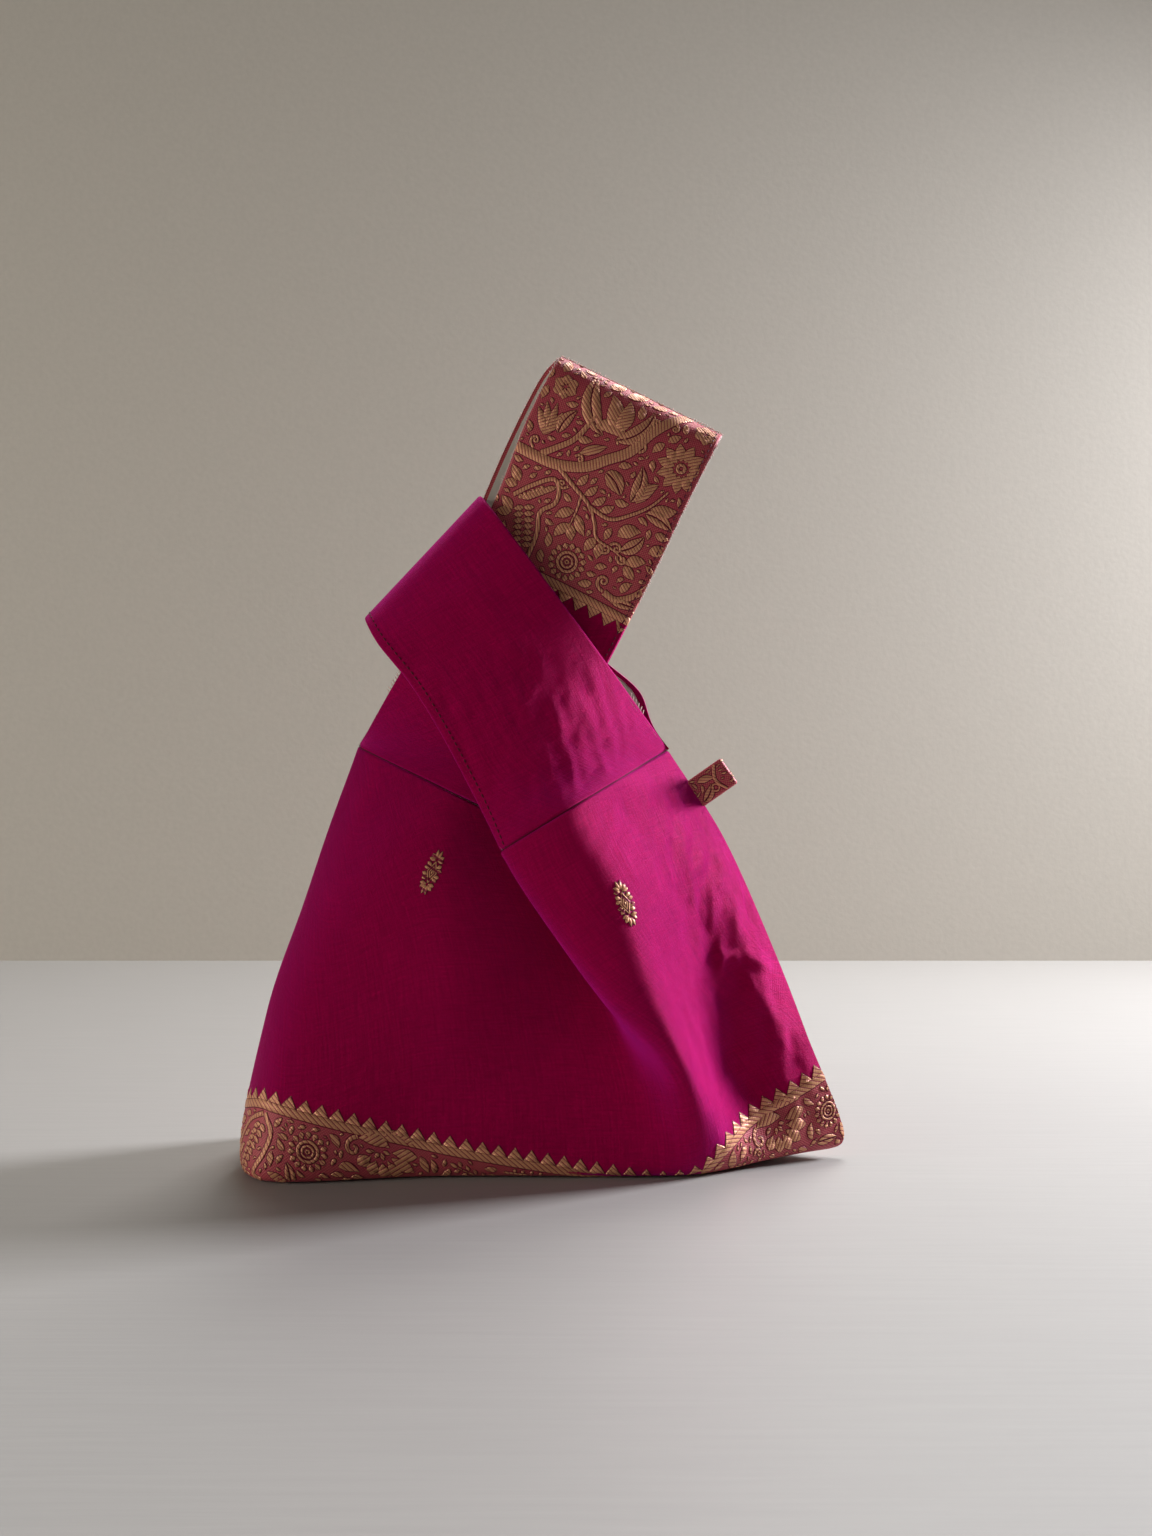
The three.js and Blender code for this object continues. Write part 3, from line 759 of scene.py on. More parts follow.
    def tooth_row(self, a_from, a_to, line, pitch, height, band, way):
        """A striped band with pointed teeth on one side; way is -1 for teeth that point up."""
        count = max(1, round((a_to - a_from) / pitch))
        step = (a_to - a_from) / count
        band_places = np.linspace(a_from, a_to, count * 4 + 1)
        path = np.column_stack([band_places, np.full(len(band_places), line - way * band / 2)])
        self.ribbon(path, band / 2)
        t = np.linspace(0, 1, 6)
        for k in range(count):
            middle = a_from + (k + 0.5) * step
            path = np.column_stack([np.full(len(t), middle), line + way * height * t])
            self.ribbon(path, step * 0.5 * (1 - t) + TOOTH_TIP)

    def fill(self, seed, tries, size, margin=0.4):
        """Small leaves in the ground that is still empty."""
        draw = np.random.default_rng(seed)
        taken = np.concatenate([np.column_stack(stroke[:2]) for stroke in self.strokes])
        for _ in range(tries):
            base = np.array([draw.uniform(*self.a_range), draw.uniform(*self.ground)])
            angle = draw.uniform(0, 2 * math.pi)
            reach = size * draw.uniform(*FILL_REACH)
            tip = base + reach * direction(angle)
            path, half = self.leaf_path(base, tip, reach * FILL_WIDTH, draw.uniform(-FILL_BEND, FILL_BEND))
            low, high = path[:, 1].min(), path[:, 1].max()
            if low < self.ground[0] or high > self.ground[1] or not self.inside(path).all():
                continue
            gap = np.linalg.norm(path[:, None] - taken[None, :, :2], axis=-1) - taken[None, :, 2]
            if (gap.min(axis=1) > half + margin).all():
                self.ribbon(path, half)
                taken = np.concatenate([taken, np.column_stack([path, half])])

    def lay(self, name, field, shift):
        """Makes the figures and their dark rims as objects on the sheet that the field describes."""
        rim = dressed(twisted_thread, rgb("outline"), name="figure_rim")
        for kind, material in (("rims", rim), ("figures", dressed(gold_yarn))):
            faces, places, stripes = [], [], []
            first = 0
            for path, half, slant in self.strokes:
                n = len(path)
                for part, made in zip((places, stripes), self.solid(path, half, slant, kind == "rims")):
                    part.append(made)
                corners = first + np.arange(4) * n
                for near, far in zip(corners, np.roll(corners, -1)):
                    faces += [(near + i, near + i + 1, far + i + 1, far + i) for i in range(n - 1)]
                faces.append(tuple(corners))
                faces.append(tuple(corners[::-1] + n - 1))
                first += 4 * n
            points = field.place(np.concatenate(places))
            points[:, 2] = points[:, 2].clip(min=ABOVE_FLOOR)
            uv_maps = {"stripe": np.concatenate(stripes)}
            obj = make_object(f"{name}_{kind}", points, faces, shift, material, uv_maps)
            point_outwards(obj)
            finish_piece(obj)


def make_object(name, points, faces, shift, material, uv_maps):
    """A smooth mesh object from points in mm, riding on the bag."""
    mesh = bpy.data.meshes.new(name)
    mesh.from_pydata(((points + (shift, 0, 0)) * MM).tolist(), [], faces)
    corners = np.empty(len(mesh.loops), dtype=np.int32)
    mesh.loops.foreach_get("vertex_index", corners)
    for uv_name, values in uv_maps.items():
        layer = mesh.uv_layers.new(name=uv_name)
        layer.uv.foreach_set("vector", (values[corners] * MM).astype(np.float32).ravel())
    mesh.shade_smooth()
    mesh.set_sharp_from_angle(angle=SHARP_EDGE)
    mesh.materials.append(material)
    obj = bpy.data.objects.new(name, mesh)
    bpy.context.scene.collection.objects.link(obj)
    return obj


def point_outwards(obj):
    """Turns the faces of closed shapes outwards."""
    work = bmesh.new()
    work.from_mesh(obj.data)
    bmesh.ops.recalc_face_normals(work, faces=work.faces)
    work.to_mesh(obj.data)
    work.free()


def shell(name, outer, inner, flipped, shift, material, uv_maps):
    """A closed sheet between an outer and an inner face that share their grid."""
    rows, columns = outer.shape[:2]
    points = np.concatenate([outer.reshape(-1, 3), inner.reshape(-1, 3)])
    number = np.arange(rows * columns).reshape(rows, columns)
    back = number + number.size
    rim = np.concatenate([number[0, :-1], number[:-1, -1], number[-1, :0:-1], number[:0:-1, 0]])
    ahead = np.roll(rim, -1)
    corners = ((number[:-1, :-1], number[:-1, 1:], number[1:, 1:], number[1:, :-1]),
               (back[:-1, :-1], back[1:, :-1], back[1:, 1:], back[:-1, 1:]),
               (ahead, rim, rim + number.size, ahead + number.size))
    faces = np.concatenate([np.stack(group, -1).reshape(-1, 4) for group in corners])
    if flipped:
        faces = faces[:, ::-1]
    both = {key: np.concatenate([value.reshape(-1, 2)] * 2) for key, value in uv_maps.items()}
    return make_object(name, points, faces.tolist(), shift, material, both)


def cloth_uv(sheet):
    """Pattern places of the weave, from the middle of the sheet."""
    middle = sheet.across[:, sheet.across.shape[1] // 2][:, None]
    return np.stack([sheet.across - middle, sheet.up], axis=-1)


class Shader:
    """A material under construction, with its main shader."""

    def __init__(self, name):
        self.material = bpy.data.materials.new(name)
        self.material.use_nodes = True
        self.tree = self.material.node_tree
        self.tree.nodes.clear()
        self.skin = self.node("ShaderNodeBsdfPrincipled")
        out = self.node("ShaderNodeOutputMaterial")
        self.link(self.skin.outputs["BSDF"], out.inputs["Surface"])

    def node(self, kind, **settings):
        node = self.tree.nodes.new(kind)
        for key, value in settings.items():
            setattr(node, key, value)
        return node

    def link(self, source, target):
        self.tree.links.new(source, target)

    def feed(self, socket, value):
        """Links a socket to another one, or sets it to a plain value."""
        if isinstance(value, bpy.types.NodeSocket):
            self.link(value, socket)
        else:
            socket.default_value = value

    def math(self, operation, *values):
        node = self.node("ShaderNodeMath", operation=operation)
        for socket, value in zip(node.inputs, values):
            self.feed(socket, value)
        return node.outputs[0]

    def mix(self, share, first, second):
        """A colour between two, at a share of the way."""
        node = self.node("ShaderNodeMix", data_type="RGBA")
        for index, value in ((0, share), (6, first), (7, second)):
            if isinstance(value, tuple):
                value = (*value, 1.0)
            self.feed(node.inputs[index], value)
        return node.outputs[2]

    def place(self):
        """Place on the bag in metres."""
        return self.node("ShaderNodeTexCoord").outputs["Object"]

    def uv(self, name):
        parts = self.node("ShaderNodeSeparateXYZ")
        self.link(self.node("ShaderNodeUVMap", uv_map=name).outputs[0], parts.inputs[0])
        return parts.outputs[0], parts.outputs[1]

    def wave(self, value, period):
        """Sine of a length in metres with the given period in mm."""
        return self.math("SINE", self.math("MULTIPLY", value, 2 * math.pi / (period * MM)))

    def noise(self, vector, scale, detail):
        node = self.node("ShaderNodeTexNoise")
        node.inputs["Scale"].default_value = scale
        node.inputs["Detail"].default_value = detail
        self.link(vector, node.inputs["Vector"])
        return node.outputs[0]

    def stretched(self, u, v, u_scale, v_scale):
        """Places for a noise that is longer one way than the other."""
        node = self.node("ShaderNodeCombineXYZ")
        self.link(self.math("MULTIPLY", u, u_scale), node.inputs[0])
        self.link(self.math("MULTIPLY", v, v_scale), node.inputs[1])
        return node.outputs[0]

    def bump(self, height, distance, strength):
        """Fine relief of the surface, with its full height in mm."""
        node = self.node("ShaderNodeBump")
        node.inputs["Strength"].default_value = strength
        node.inputs["Distance"].default_value = distance * MM
        self.link(height, node.inputs["Height"])
        self.link(node.outputs[0], self.skin.inputs["Normal"])

    def paint(self, tint, roughness):
        """Links the colour and the roughness."""
        self.link(tint, self.skin.inputs["Base Color"])
        self.link(roughness, self.skin.inputs["Roughness"])

    def set(self, **values):
        """Sets plain values of the main shader by their labels."""
        for key, value in values.items():
            self.skin.inputs[key.replace("_", " ").title().replace("Ior", "IOR")].default_value = value


def rgb(name):
    """A colour of the bag by its name."""
    return tuple(getattr(bpy.context.scene.knot_bag_colours, name))


def scaled(values, share):
    """A lighter or darker colour."""
    return tuple(min(1.0, value * share) for value in values)


def dressed(dress, *given, name=None):
    """The material that a function dresses, made on its first use and named after the function."""
    name = name or dress.__name__
    found = bpy.data.materials.get(name)
    if found:
        return found
    shader = Shader(name)
    dress(shader, *given)
    return shader.material


def plain_weave(shader, u, v, pitch):
    """Raised crossings of a plain weave, and which thread lies on top."""
    over = shader.math("MULTIPLY", shader.wave(u, pitch * 2), shader.wave(v, pitch * 2))
    return shader.math("ABSOLUTE", over), shader.math("GREATER_THAN", over, 0.0)


def shot_silk(shader):
    """Shot silk with uneven threads."""
    u, v = shader.uv("cloth")
    crossing, warp_on_top = plain_weave(shader, u, v, pitch=0.42)
    tint = shader.mix(warp_on_top, rgb("weft"), rgb("warp"))
    level_slub = shader.noise(shader.stretched(u, v, 90, 1300), scale=1.0, detail=3.0)
    upright_slub = shader.noise(shader.stretched(u, v, 1200, 60), scale=1.0, detail=2.0)
    place = shader.place()
    patch = shader.noise(place, scale=26.0, detail=3.0)
    grain = shader.noise(place, scale=1000.0, detail=2.0)
    slub = shader.math("ADD", level_slub, upright_slub)
    streak = shader.math("MULTIPLY_ADD", slub, 1.9, -1.4)
    tint = shader.mix(streak, scaled(rgb("weft"), 0.62), tint)
    tint = shader.mix(shader.math("MULTIPLY", grain, 0.9), tint, scaled(rgb("weft"), 0.5))
    tint = shader.mix(shader.math("MULTIPLY", patch, 0.25), tint, scaled(rgb("weft"), 0.7))
    threads = shader.math("MULTIPLY_ADD", grain, 0.9, crossing)
    shader.paint(tint, shader.math("MULTIPLY_ADD", patch, 0.16, 0.42))
    shader.bump(shader.math("MULTIPLY_ADD", slub, 1.2, threads), distance=0.22, strength=0.8)
    shader.set(metallic=0.25, sheen_weight=0.7, sheen_roughness=0.5, sheen_tint=(1.0, 0.03, 0.72, 1.0),
               anisotropic=0.35, specular_ior_level=0.1, specular_tint=(1.0, 0.06, 1.0, 1.0))


def brocade_ground(shader):
    """Crimson ground of the brocade with a fine net of gold picks."""
    a, b = shader.uv("border")
    net = shader.math("MULTIPLY", shader.wave(a, NET_PITCH), shader.wave(b, NET_PITCH))
    place = shader.place()
    patch = shader.noise(place, scale=45.0, detail=3.0)
    grain = shader.noise(place, scale=1300.0, detail=2.0)
    dot = shader.math("GREATER_THAN", net, 0.1)
    fleck = shader.math("MULTIPLY", dot, shader.math("MULTIPLY_ADD", patch, 0.4, 0.14))
    ground = shader.mix(shader.math("MULTIPLY", grain, 0.6), rgb("ground"), scaled(rgb("ground"), 0.55))
    shader.paint(shader.mix(fleck, ground, scaled(rgb("gold"), 0.8)),
                 shader.math("MULTIPLY_ADD", patch, 0.15, 0.45))
    shader.bump(shader.math("MULTIPLY_ADD", net, 0.7, grain), distance=0.1, strength=0.6)
    shader.set(metallic=0.1, sheen_weight=0.25, sheen_roughness=0.4, sheen_tint=(1.0, 0.35, 0.4, 1.0))


def gold_yarn(shader):
    """Gold yarn laid in slanting rows, with dark lines between them."""
    u, v = shader.uv("stripe")
    row = shader.math("MULTIPLY", u, 1 / (YARN_ROW * MM))
    within = shader.math("FRACT", row)
    edge = shader.math("ABSOLUTE", shader.math("SUBTRACT", within, 0.5))
    gap = shader.math("GREATER_THAN", edge, 0.39)
    along = shader.math("MULTIPLY", v, 1 / (YARN_PICK * MM))
    brick = shader.math("MULTIPLY_ADD", shader.math("FLOOR", row), 0.5, along)
    yarn = shader.math("ABSOLUTE", shader.math("SUBTRACT", shader.math("FRACT", brick), 0.5))
    place = shader.place()
    patch = shader.noise(place, scale=60.0, detail=3.0)
    fine = shader.noise(place, scale=1100.0, detail=2.0)
    worn = shader.math("MULTIPLY_ADD", patch, 0.7, -0.05)
    bright = shader.mix(worn, rgb("gold"), scaled(rgb("gold"), 0.72))
    bright = shader.mix(shader.math("MULTIPLY", fine, 0.35), bright, rgb("ground"))
    pick = shader.math("MULTIPLY", shader.math("GREATER_THAN", yarn, 0.42), 0.4)
    bright = shader.mix(pick, bright, rgb("ground"))
    shader.paint(shader.mix(gap, bright, scaled(rgb("ground"), 0.6)),
                 shader.math("MULTIPLY_ADD", patch, 0.2, 0.34))
    rounded = shader.math("SUBTRACT", shader.math("MULTIPLY", yarn, -0.5), edge)
    shader.bump(rounded, distance=0.3, strength=0.7)
    shader.set(metallic=0.25, sheen_weight=0.15, sheen_roughness=0.4, sheen_tint=(1.0, 0.85, 0.6, 1.0))


def beige_lining(shader):
    """Plain cotton in a loose weave."""
    u, v = shader.uv("cloth")
    crossing, top = plain_weave(shader, u, v, pitch=0.5)
    patch = shader.noise(shader.place(), scale=40.0, detail=3.0)
    tint = shader.mix(shader.math("MULTIPLY", patch, 0.6), rgb("lining"), scaled(rgb("lining"), 0.8))
    shader.paint(shader.mix(shader.math("MULTIPLY", top, 0.12), tint, scaled(rgb("lining"), 1.25)),
                 shader.math("MULTIPLY_ADD", patch, 0.1, 0.78))
    shader.bump(crossing, distance=0.1, strength=0.6)
    shader.set(sheen_weight=0.2, sheen_roughness=0.5)


def twisted_thread(shader, tint):
    """Thread with a fine uneven twist."""
    twist = shader.noise(shader.place(), scale=1800.0, detail=2.0)
    shader.paint(shader.mix(twist, scaled(tint, 0.75), scaled(tint, 1.2)),
                 shader.math("MULTIPLY_ADD", twist, 0.2, 0.45))
    shader.bump(twist, distance=0.1, strength=0.5)
    shader.set(specular_ior_level=0.25)


def painted_board(shader, tint, rough, streak):
    """A pale board with a faint grain, stretched by the streak."""
    turn = shader.node("ShaderNodeMapping")
    turn.inputs["Scale"].default_value = streak
    shader.link(shader.place(), turn.inputs["Vector"])
    grain = shader.noise(turn.outputs[0], scale=40.0, detail=3.0)
    shader.link(shader.mix(grain, scaled(tint, 0.94), scaled(tint, 1.05)), shader.skin.inputs["Base Color"])
    shader.bump(grain, distance=0.4, strength=0.25)
    shader.set(roughness=rough)


def lay_brocade(obj, edge):
    """Gives the faces of a sheet the brocade ground where its border map reads more than the edge, in mm."""
    mesh = obj.data
    mesh.materials.append(dressed(brocade_ground))
    reading = np.empty(len(mesh.loops) * 2, dtype=np.float32)
    mesh.uv_layers["border"].uv.foreach_get("vector", reading)
    below = reading.reshape(-1, 4, 2)[..., 1].mean(axis=1) > edge * MM
    mesh.polygons.foreach_set("material_index", below.astype(np.int32))


def panel_sheet(m):
    """The front panel with its folds, and the guide number of each of its columns."""
    columns = spread(COLUMN_STEPS)
    points = panel_points(m, beside_seams(spread(WALL_STEPS), last=True), columns)
    guides = columns * LAST_GUIDE
    sheet = Sheet(points, mirrored=("left", "right", "bottom"), sewn=("top",))
    rise = fold_heights(points, PANEL_FOLDS) * ((guides > FOLD_GUIDES[0]) & (guides <= FOLD_GUIDES[1]))
    rise += unevenness(sheet, PANEL_SWELL)
    crinkled = np.clip((guides - CRINKLE_START) / CRINKLE_GUIDES, 0, 1)
    rise += crinkled * unevenness(sheet, PANEL_CRINKLES)
    for edge, width in PANEL_CALM:
        rise *= np.clip(sheet.edges[edge] / width, 0, 1) ** 1.5
    rise *= np.clip((sheet.up - sheet.up[FOOT_ROW]) / FOOT_CALM, 0, 1)
    sheet.set_points(points + sheet.normals * rise[..., None])
    return sheet, guides


def border_map(m, sheet, guides):
    """Pattern places of the border: along the teeth from the left seam, and down from the teeth's line."""
    heights = [(index * GUIDE_SPACING, guide["border"]) for index, guide in enumerate(GUIDES)]
    line = through(heights, guides / LAST_GUIDE)[:, 1] - m.tooth_height
    above_floor = sheet.up - sheet.up[FOOT_ROW]
    numbers = np.arange(len(above_floor))
    rows = np.array([np.interp(height, column, numbers) for height, column in zip(line, above_floor.T)])
    points = bilinear(sheet.points, rows, np.arange(len(line), dtype=float))
    along = arc_lengths(points, 0)
    return along, line[None, :] - above_floor, line


def finish_piece(obj, replaced=()):
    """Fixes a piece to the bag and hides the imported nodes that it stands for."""
    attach(obj, "root")
    if replaced:
        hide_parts(*replaced)


def sew_outside(m, name, cut, radius, least, material, uv_maps, node, bordered=False):
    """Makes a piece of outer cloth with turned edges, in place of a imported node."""
    dip = cut.dip(radius)
    inner = cut.face(np.maximum(m.cloth, dip + least))
    obj = shell(name, cut.face(dip), inner, cut.flipped, m.shift, material, uv_maps)
    if bordered:
        lay_brocade(obj, m.band_width / 2)
    finish_piece(obj, [node])
    cut.flat()
    cut.area()


def sew_lining(m, name, cut, node):
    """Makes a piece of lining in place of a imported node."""
    obj = shell(name, cut.face(m.cloth + LAYER_GAP), cut.face(m.layers), cut.flipped, m.shift,
                dressed(beige_lining), {"cloth": cloth_uv(cut)})
    finish_piece(obj, [node])
    cut.flat()
    cut.area()


class KNOT_BAG_OT_body_panels(bpy.types.Operator):
    """Front and back body panels with their linings"""

    bl_idname = "knot_bag.body_panels"
    bl_label = "Body panels"

    def execute(self, context):
        m = measures()
        sheet, guides = panel_sheet(m)
        along, down, _ = border_map(m, sheet, guides)
        border = np.stack([np.broadcast_to(along, down.shape), down], axis=-1)
        lining = Sheet(sheet.points[::2, guides < LINING_END][:, ::2], mirrored=("left", "bottom"))
        cuts = ((sheet, lining), (sheet.other_side(), lining.other_side()))
        for side, (cut, inside) in zip(SIDES, cuts):
            uv_maps = {"cloth": cloth_uv(cut), "border": border}
            sew_outside(m, f"body_{side}_silk", cut, m.layers / 2, PANEL_LEAST, dressed(shot_silk), uv_maps,
                        f"body_{side}", bordered=True)
            sew_lining(m, f"body_{side}_lining", inside, f"lining_{side}")
        return {"FINISHED"}


def long_strap_sheet(m, side, inset=0.0):
    """A leg of the long strap; the back one sits a little further to the left."""
    front = side == "front"
    points = long_strap_points(m, edge_shares(m.long_width, inset), 0.0 if front else m.back_shift)
    sheet = Sheet(points, mirrored=("top",), sewn=("bottom",), free=("left", "right"))
    return sheet if front else sheet.other_side()


class KNOT_BAG_OT_long_strap(bpy.types.Operator):
    """Front and back legs of the long strap with their linings"""

    bl_idname = "knot_bag.long_strap"
    bl_label = "Long strap"

    def execute(self, context):
        m = measures()
        for side in SIDES:
            cut = long_strap_sheet(m, side)
            down = m.brocade_length - cut.edges["top"]
            uv_maps = {"cloth": cloth_uv(cut), "border": np.stack([cut.across, down], axis=-1)}
            sew_outside(m, f"long_strap_{side}_cloth", cut, m.layers / 2, STRAP_LEAST, dressed(shot_silk),
                        uv_maps, f"long_strap_{side}", bordered=True)
            inside = long_strap_sheet(m, side, LINING_INSET)
            sew_lining(m, f"long_strap_{side}_inside", inside, f"long_strap_lining_{side}")
        return {"FINISHED"}


def short_strap_sheet(m, inset=0.0):
    """The short strap with its folds, from the front seam round the knot to the back seam."""
    points = short_strap_points(m, edge_shares(m.short_width, inset))
    sheet = Sheet(points, sewn=("bottom", "top"), free=("left", "right"))
    rise = fold_heights(points, STRAP_FOLDS) * (points[..., 1] < 0)
    crinkled = np.clip((CRINKLE_TOP - points[..., 2]) / CRINKLE_FADE, 0, 1)
    rise += crinkled * unevenness(sheet, STRAP_CRINKLES)
    for edge in sheet.edges.values():
        rise *= np.clip(edge / STRAP_CALM, 0, 1)
    sheet.set_points(points + sheet.normals * rise[..., None])
    return sheet


class KNOT_BAG_OT_short_strap(bpy.types.Operator):
    """The short strap round the knot, with its lining"""

    bl_idname = "knot_bag.short_strap"
    bl_label = "Short strap"

    def execute(self, context):
        m = measures()
        cut = short_strap_sheet(m)
        sew_outside(m, "short_strap_silk", cut, m.layers / 2, STRAP_LEAST, dressed(shot_silk),
                    {"cloth": cloth_uv(cut)}, "short_strap")
        inside = short_strap_sheet(m, LINING_INSET)
        sew_lining(m, "short_strap_inside", inside, "short_strap_lining")
        return {"FINISHED"}


def tab_sheet(m):
    """The tab as a strip folded in half, from its front root round the fold to its back root."""
    guide = guide_points(m, GUIDES[-1])
    root = through(guide, [TAB_PLACE])[0]
    along = np.array([math.cos(TAB_ANGLE), 0, math.sin(TAB_ANGLE)])
    upward = np.array([-math.sin(TAB_ANGLE), 0, math.cos(TAB_ANGLE)])
    half = m.cloth + LAYER_GAP
    straight = np.linspace(0, m.tab_length + TAB_CAUGHT - half, TAB_STEPS)
    turn = np.linspace(0, math.pi, TAB_TURN_STEPS)[1:-1]
    level = np.full(TAB_STEPS, half)
    reach = np.concatenate([straight, straight[-1] + half * np.sin(turn), straight[::-1]])
    depth = np.concatenate([-level, -half * np.cos(turn), level])
    across = np.linspace(-m.tab_width / 2, m.tab_width / 2, TAB_COLUMNS)
    points = root + (reach[:, None, None] - TAB_CAUGHT) * along + across[None, ::-1, None] * upward
    points[..., 1] += depth[:, None]
    return Sheet(points.transpose(1, 0, 2)[::-1], free=("top", "bottom"))


class KNOT_BAG_OT_side_tab(bpy.types.Operator):
    """The folded tab caught in the right side seam"""

    bl_idname = "knot_bag.side_tab"
    bl_label = "Side tab"

    def execute(self, context):
        m = measures()
        cut = tab_sheet(m)
        radius = m.cloth / 2
        sew_outside(m, "side_tab_brocade", cut, radius, STRAP_LEAST, dressed(brocade_ground),
                    {"border": np.stack([cut.across, cut.up], axis=-1)}, "side_tab")
        reach = cut.across[0, -1]
        field = Field(cut.face(cut.dip(radius)), cut.normals, cut.across, m.tab_width - cut.up)
        rim = 0.4
        relief = Relief((rim, reach - rim), (rim, m.tab_width - rim), yarn=0.7)
        for middle in (m.tab_length * 0.5, reach - m.tab_length * 0.5):
            relief.leaf((middle - 6, 11), (middle + 1, 6.5), 3.6, 0.1, split=True)
            relief.leaf((middle - 4, 3), (middle + 3.5, 5.2), 3.0, -0.1)
            relief.stem([(middle + 6, 0.5), (middle + 3, 6), (middle + 5, 12)], 1.6)
            relief.ring((middle + 1.4, 8.8), 1.5, 1.0, 14)
        for seed, size, margin in ((5, 4.2, 0.4), (6, 2.6, 0.35)):
            relief.fill(seed, TAB_TRIES, size, margin)
        relief.lay("side_tab", field, m.shift)
        return {"FINISHED"}


def strap_figures(m):
    """The flowering stem of the long strap, from the top seam down to its teeth."""
    relief = Relief((0.35, m.long_width * 0.985), (0.4, m.brocade_length + m.tooth_height + 0.4),
                    ground=(0.4, m.brocade_length - m.band_width), yarn=0.72, bold=1.3)
    leaf, stem, curl = relief.leaf, relief.stem, relief.curl
    relief.tooth_row(0.4, m.long_width - 1.2, m.brocade_length, m.tooth_pitch, m.tooth_height, m.band_width,
                     way=1)
    # stems
    stem([(0.5, 45.5), (9, 46.2), (18.2, 46.2), (30.4, 42.1), (37.5, 35.7), (44.6, 28.6), (48.9, 17.9),
          (53.9, 9.3), (60, 0.6)], 4.6, 0.95)
    stem([(11.1, 44.6), (16.1, 40), (21.8, 33.6), (25.4, 21.5)], 3.0, 0.75)
    stem([(20, 46.8), (28.9, 51.4), (37.5, 55.7), (42.5, 61.4), (45.5, 66.4), (55.4, 67.9),
          (61, 70.2)], 2.2, 0.5)
    stem([(38.5, 56.2), (47.5, 57.1), (55.4, 51.4), (61.8, 44.3), (66.1, 36)], 2.0, 0.5)
    stem([(33.2, 54.2), (33.6, 60), (33, 68)], 1.4, 0.6)
    # tulip
    leaf((31.5, 27.5), (18.6, 3.4), 6.0, -0.16, split=True)
    leaf((33, 24.2), (27.5, 9.8), 5.6, 0.12)
    leaf((35.5, 24), (35.2, 9), 5.2, 0.1, slant=CROSS_SLANT)
    leaf((37, 27), (46.2, 8.6), 5.2, 0.18, split=True)
    leaf((26.5, 26.4), (41, 25.4), 5.0, -0.25, 1.0)
    leaf((25, 7.2), (31, 0.8), 4.2)
    leaf((33, 7.4), (41.5, 1), 4.4)
    # flowers
    relief.blossom((8.6, 15.2), 5.4)
    daisy = np.array([66.5, 25.0])
    relief.ring(daisy, 1.6, 1.6, 14)
    relief.petals(daisy, 3.0, 10.5, 11, 3.5, 0.2, slant=CROSS_SLANT)
    relief.sunflower((38.6, 80.5), 7.8)
    relief.blossom((69, 6.6), 5.2)
    # leaves
    for tip in ((2.2, 27), (4.6, 23.6), (8.8, 22.8), (12.6, 25.4)):
        leaf((9.2, 37), tip, 2.8, 0.05, slant=CROSS_SLANT)
    leaf((14.4, 34), (17.6, 22.4), 3.8, -0.1, split=True)
    leaf((26, 38), (35.5, 30.8), 3.2, slant=CROSS_SLANT)
    leaf((22.8, 33), (29, 31.4), 2.6)
    leaf((39, 40.6), (48.2, 46.5), 5.6, -0.12, split=True)
    leaf((53, 47), (52, 31.6), 4.6, 0.12, split=True)
    leaf((55.4, 46.4), (61.4, 35.4), 4.2, -0.1, slant=CROSS_SLANT)
    leaf((62, 45.5), (72.5, 41.2), 4.2, 0.08)
    leaf((60.5, 48.4), (73.4, 49.8), 4.4, -0.1, split=True)
    for base, tip in (((29.6, 50.2), (32.8, 44.2)), ((34.2, 52.6), (38.2, 46.8)),
                      ((38.6, 54.6), (43, 49.4)), ((42.4, 55.6), (47.6, 51.4))):
        leaf(base, tip, 2.5, 0.08)
    for base, tip in (((32.8, 60.4), (26, 66)), ((34.4, 61), (40.5, 68)), ((33, 66), (29, 73.4)),
                      ((34, 66), (36.6, 72)), ((45.6, 66.6), (43, 73.4)), ((48.4, 67.2), (49, 74))):
        leaf(base, tip, 3.3, 0.06)
    leaf((56.4, 66.8), (63.6, 57), 4.0, 0.1, split=True)
    leaf((60.6, 70.4), (68.4, 66), 3.8, -0.08)
    leaf((60.4, 71.6), (66.6, 74.6), 3.4)
    leaf((67.6, 62), (74, 57), 3.6)
    # tendrils
    for start, heading, size, turn in (
            ((8, 43.6), 200, 4.6, 1), ((49.8, 15.2), 200, 3.6, 1), ((55.6, 9), 10, 3.4, 1),
            ((47, 27.4), -20, 4.2, -1), ((27, 51.8), 120, 4.0, 1), ((51.6, 67), -60, 4.4, 1),
            ((55.8, 68.6), 70, 4.2, -1), ((46.8, 68), 60, 5.0, -1), ((24.6, 40.4), -60, 3.4, 1)):
        curl(start, heading, size, turn)
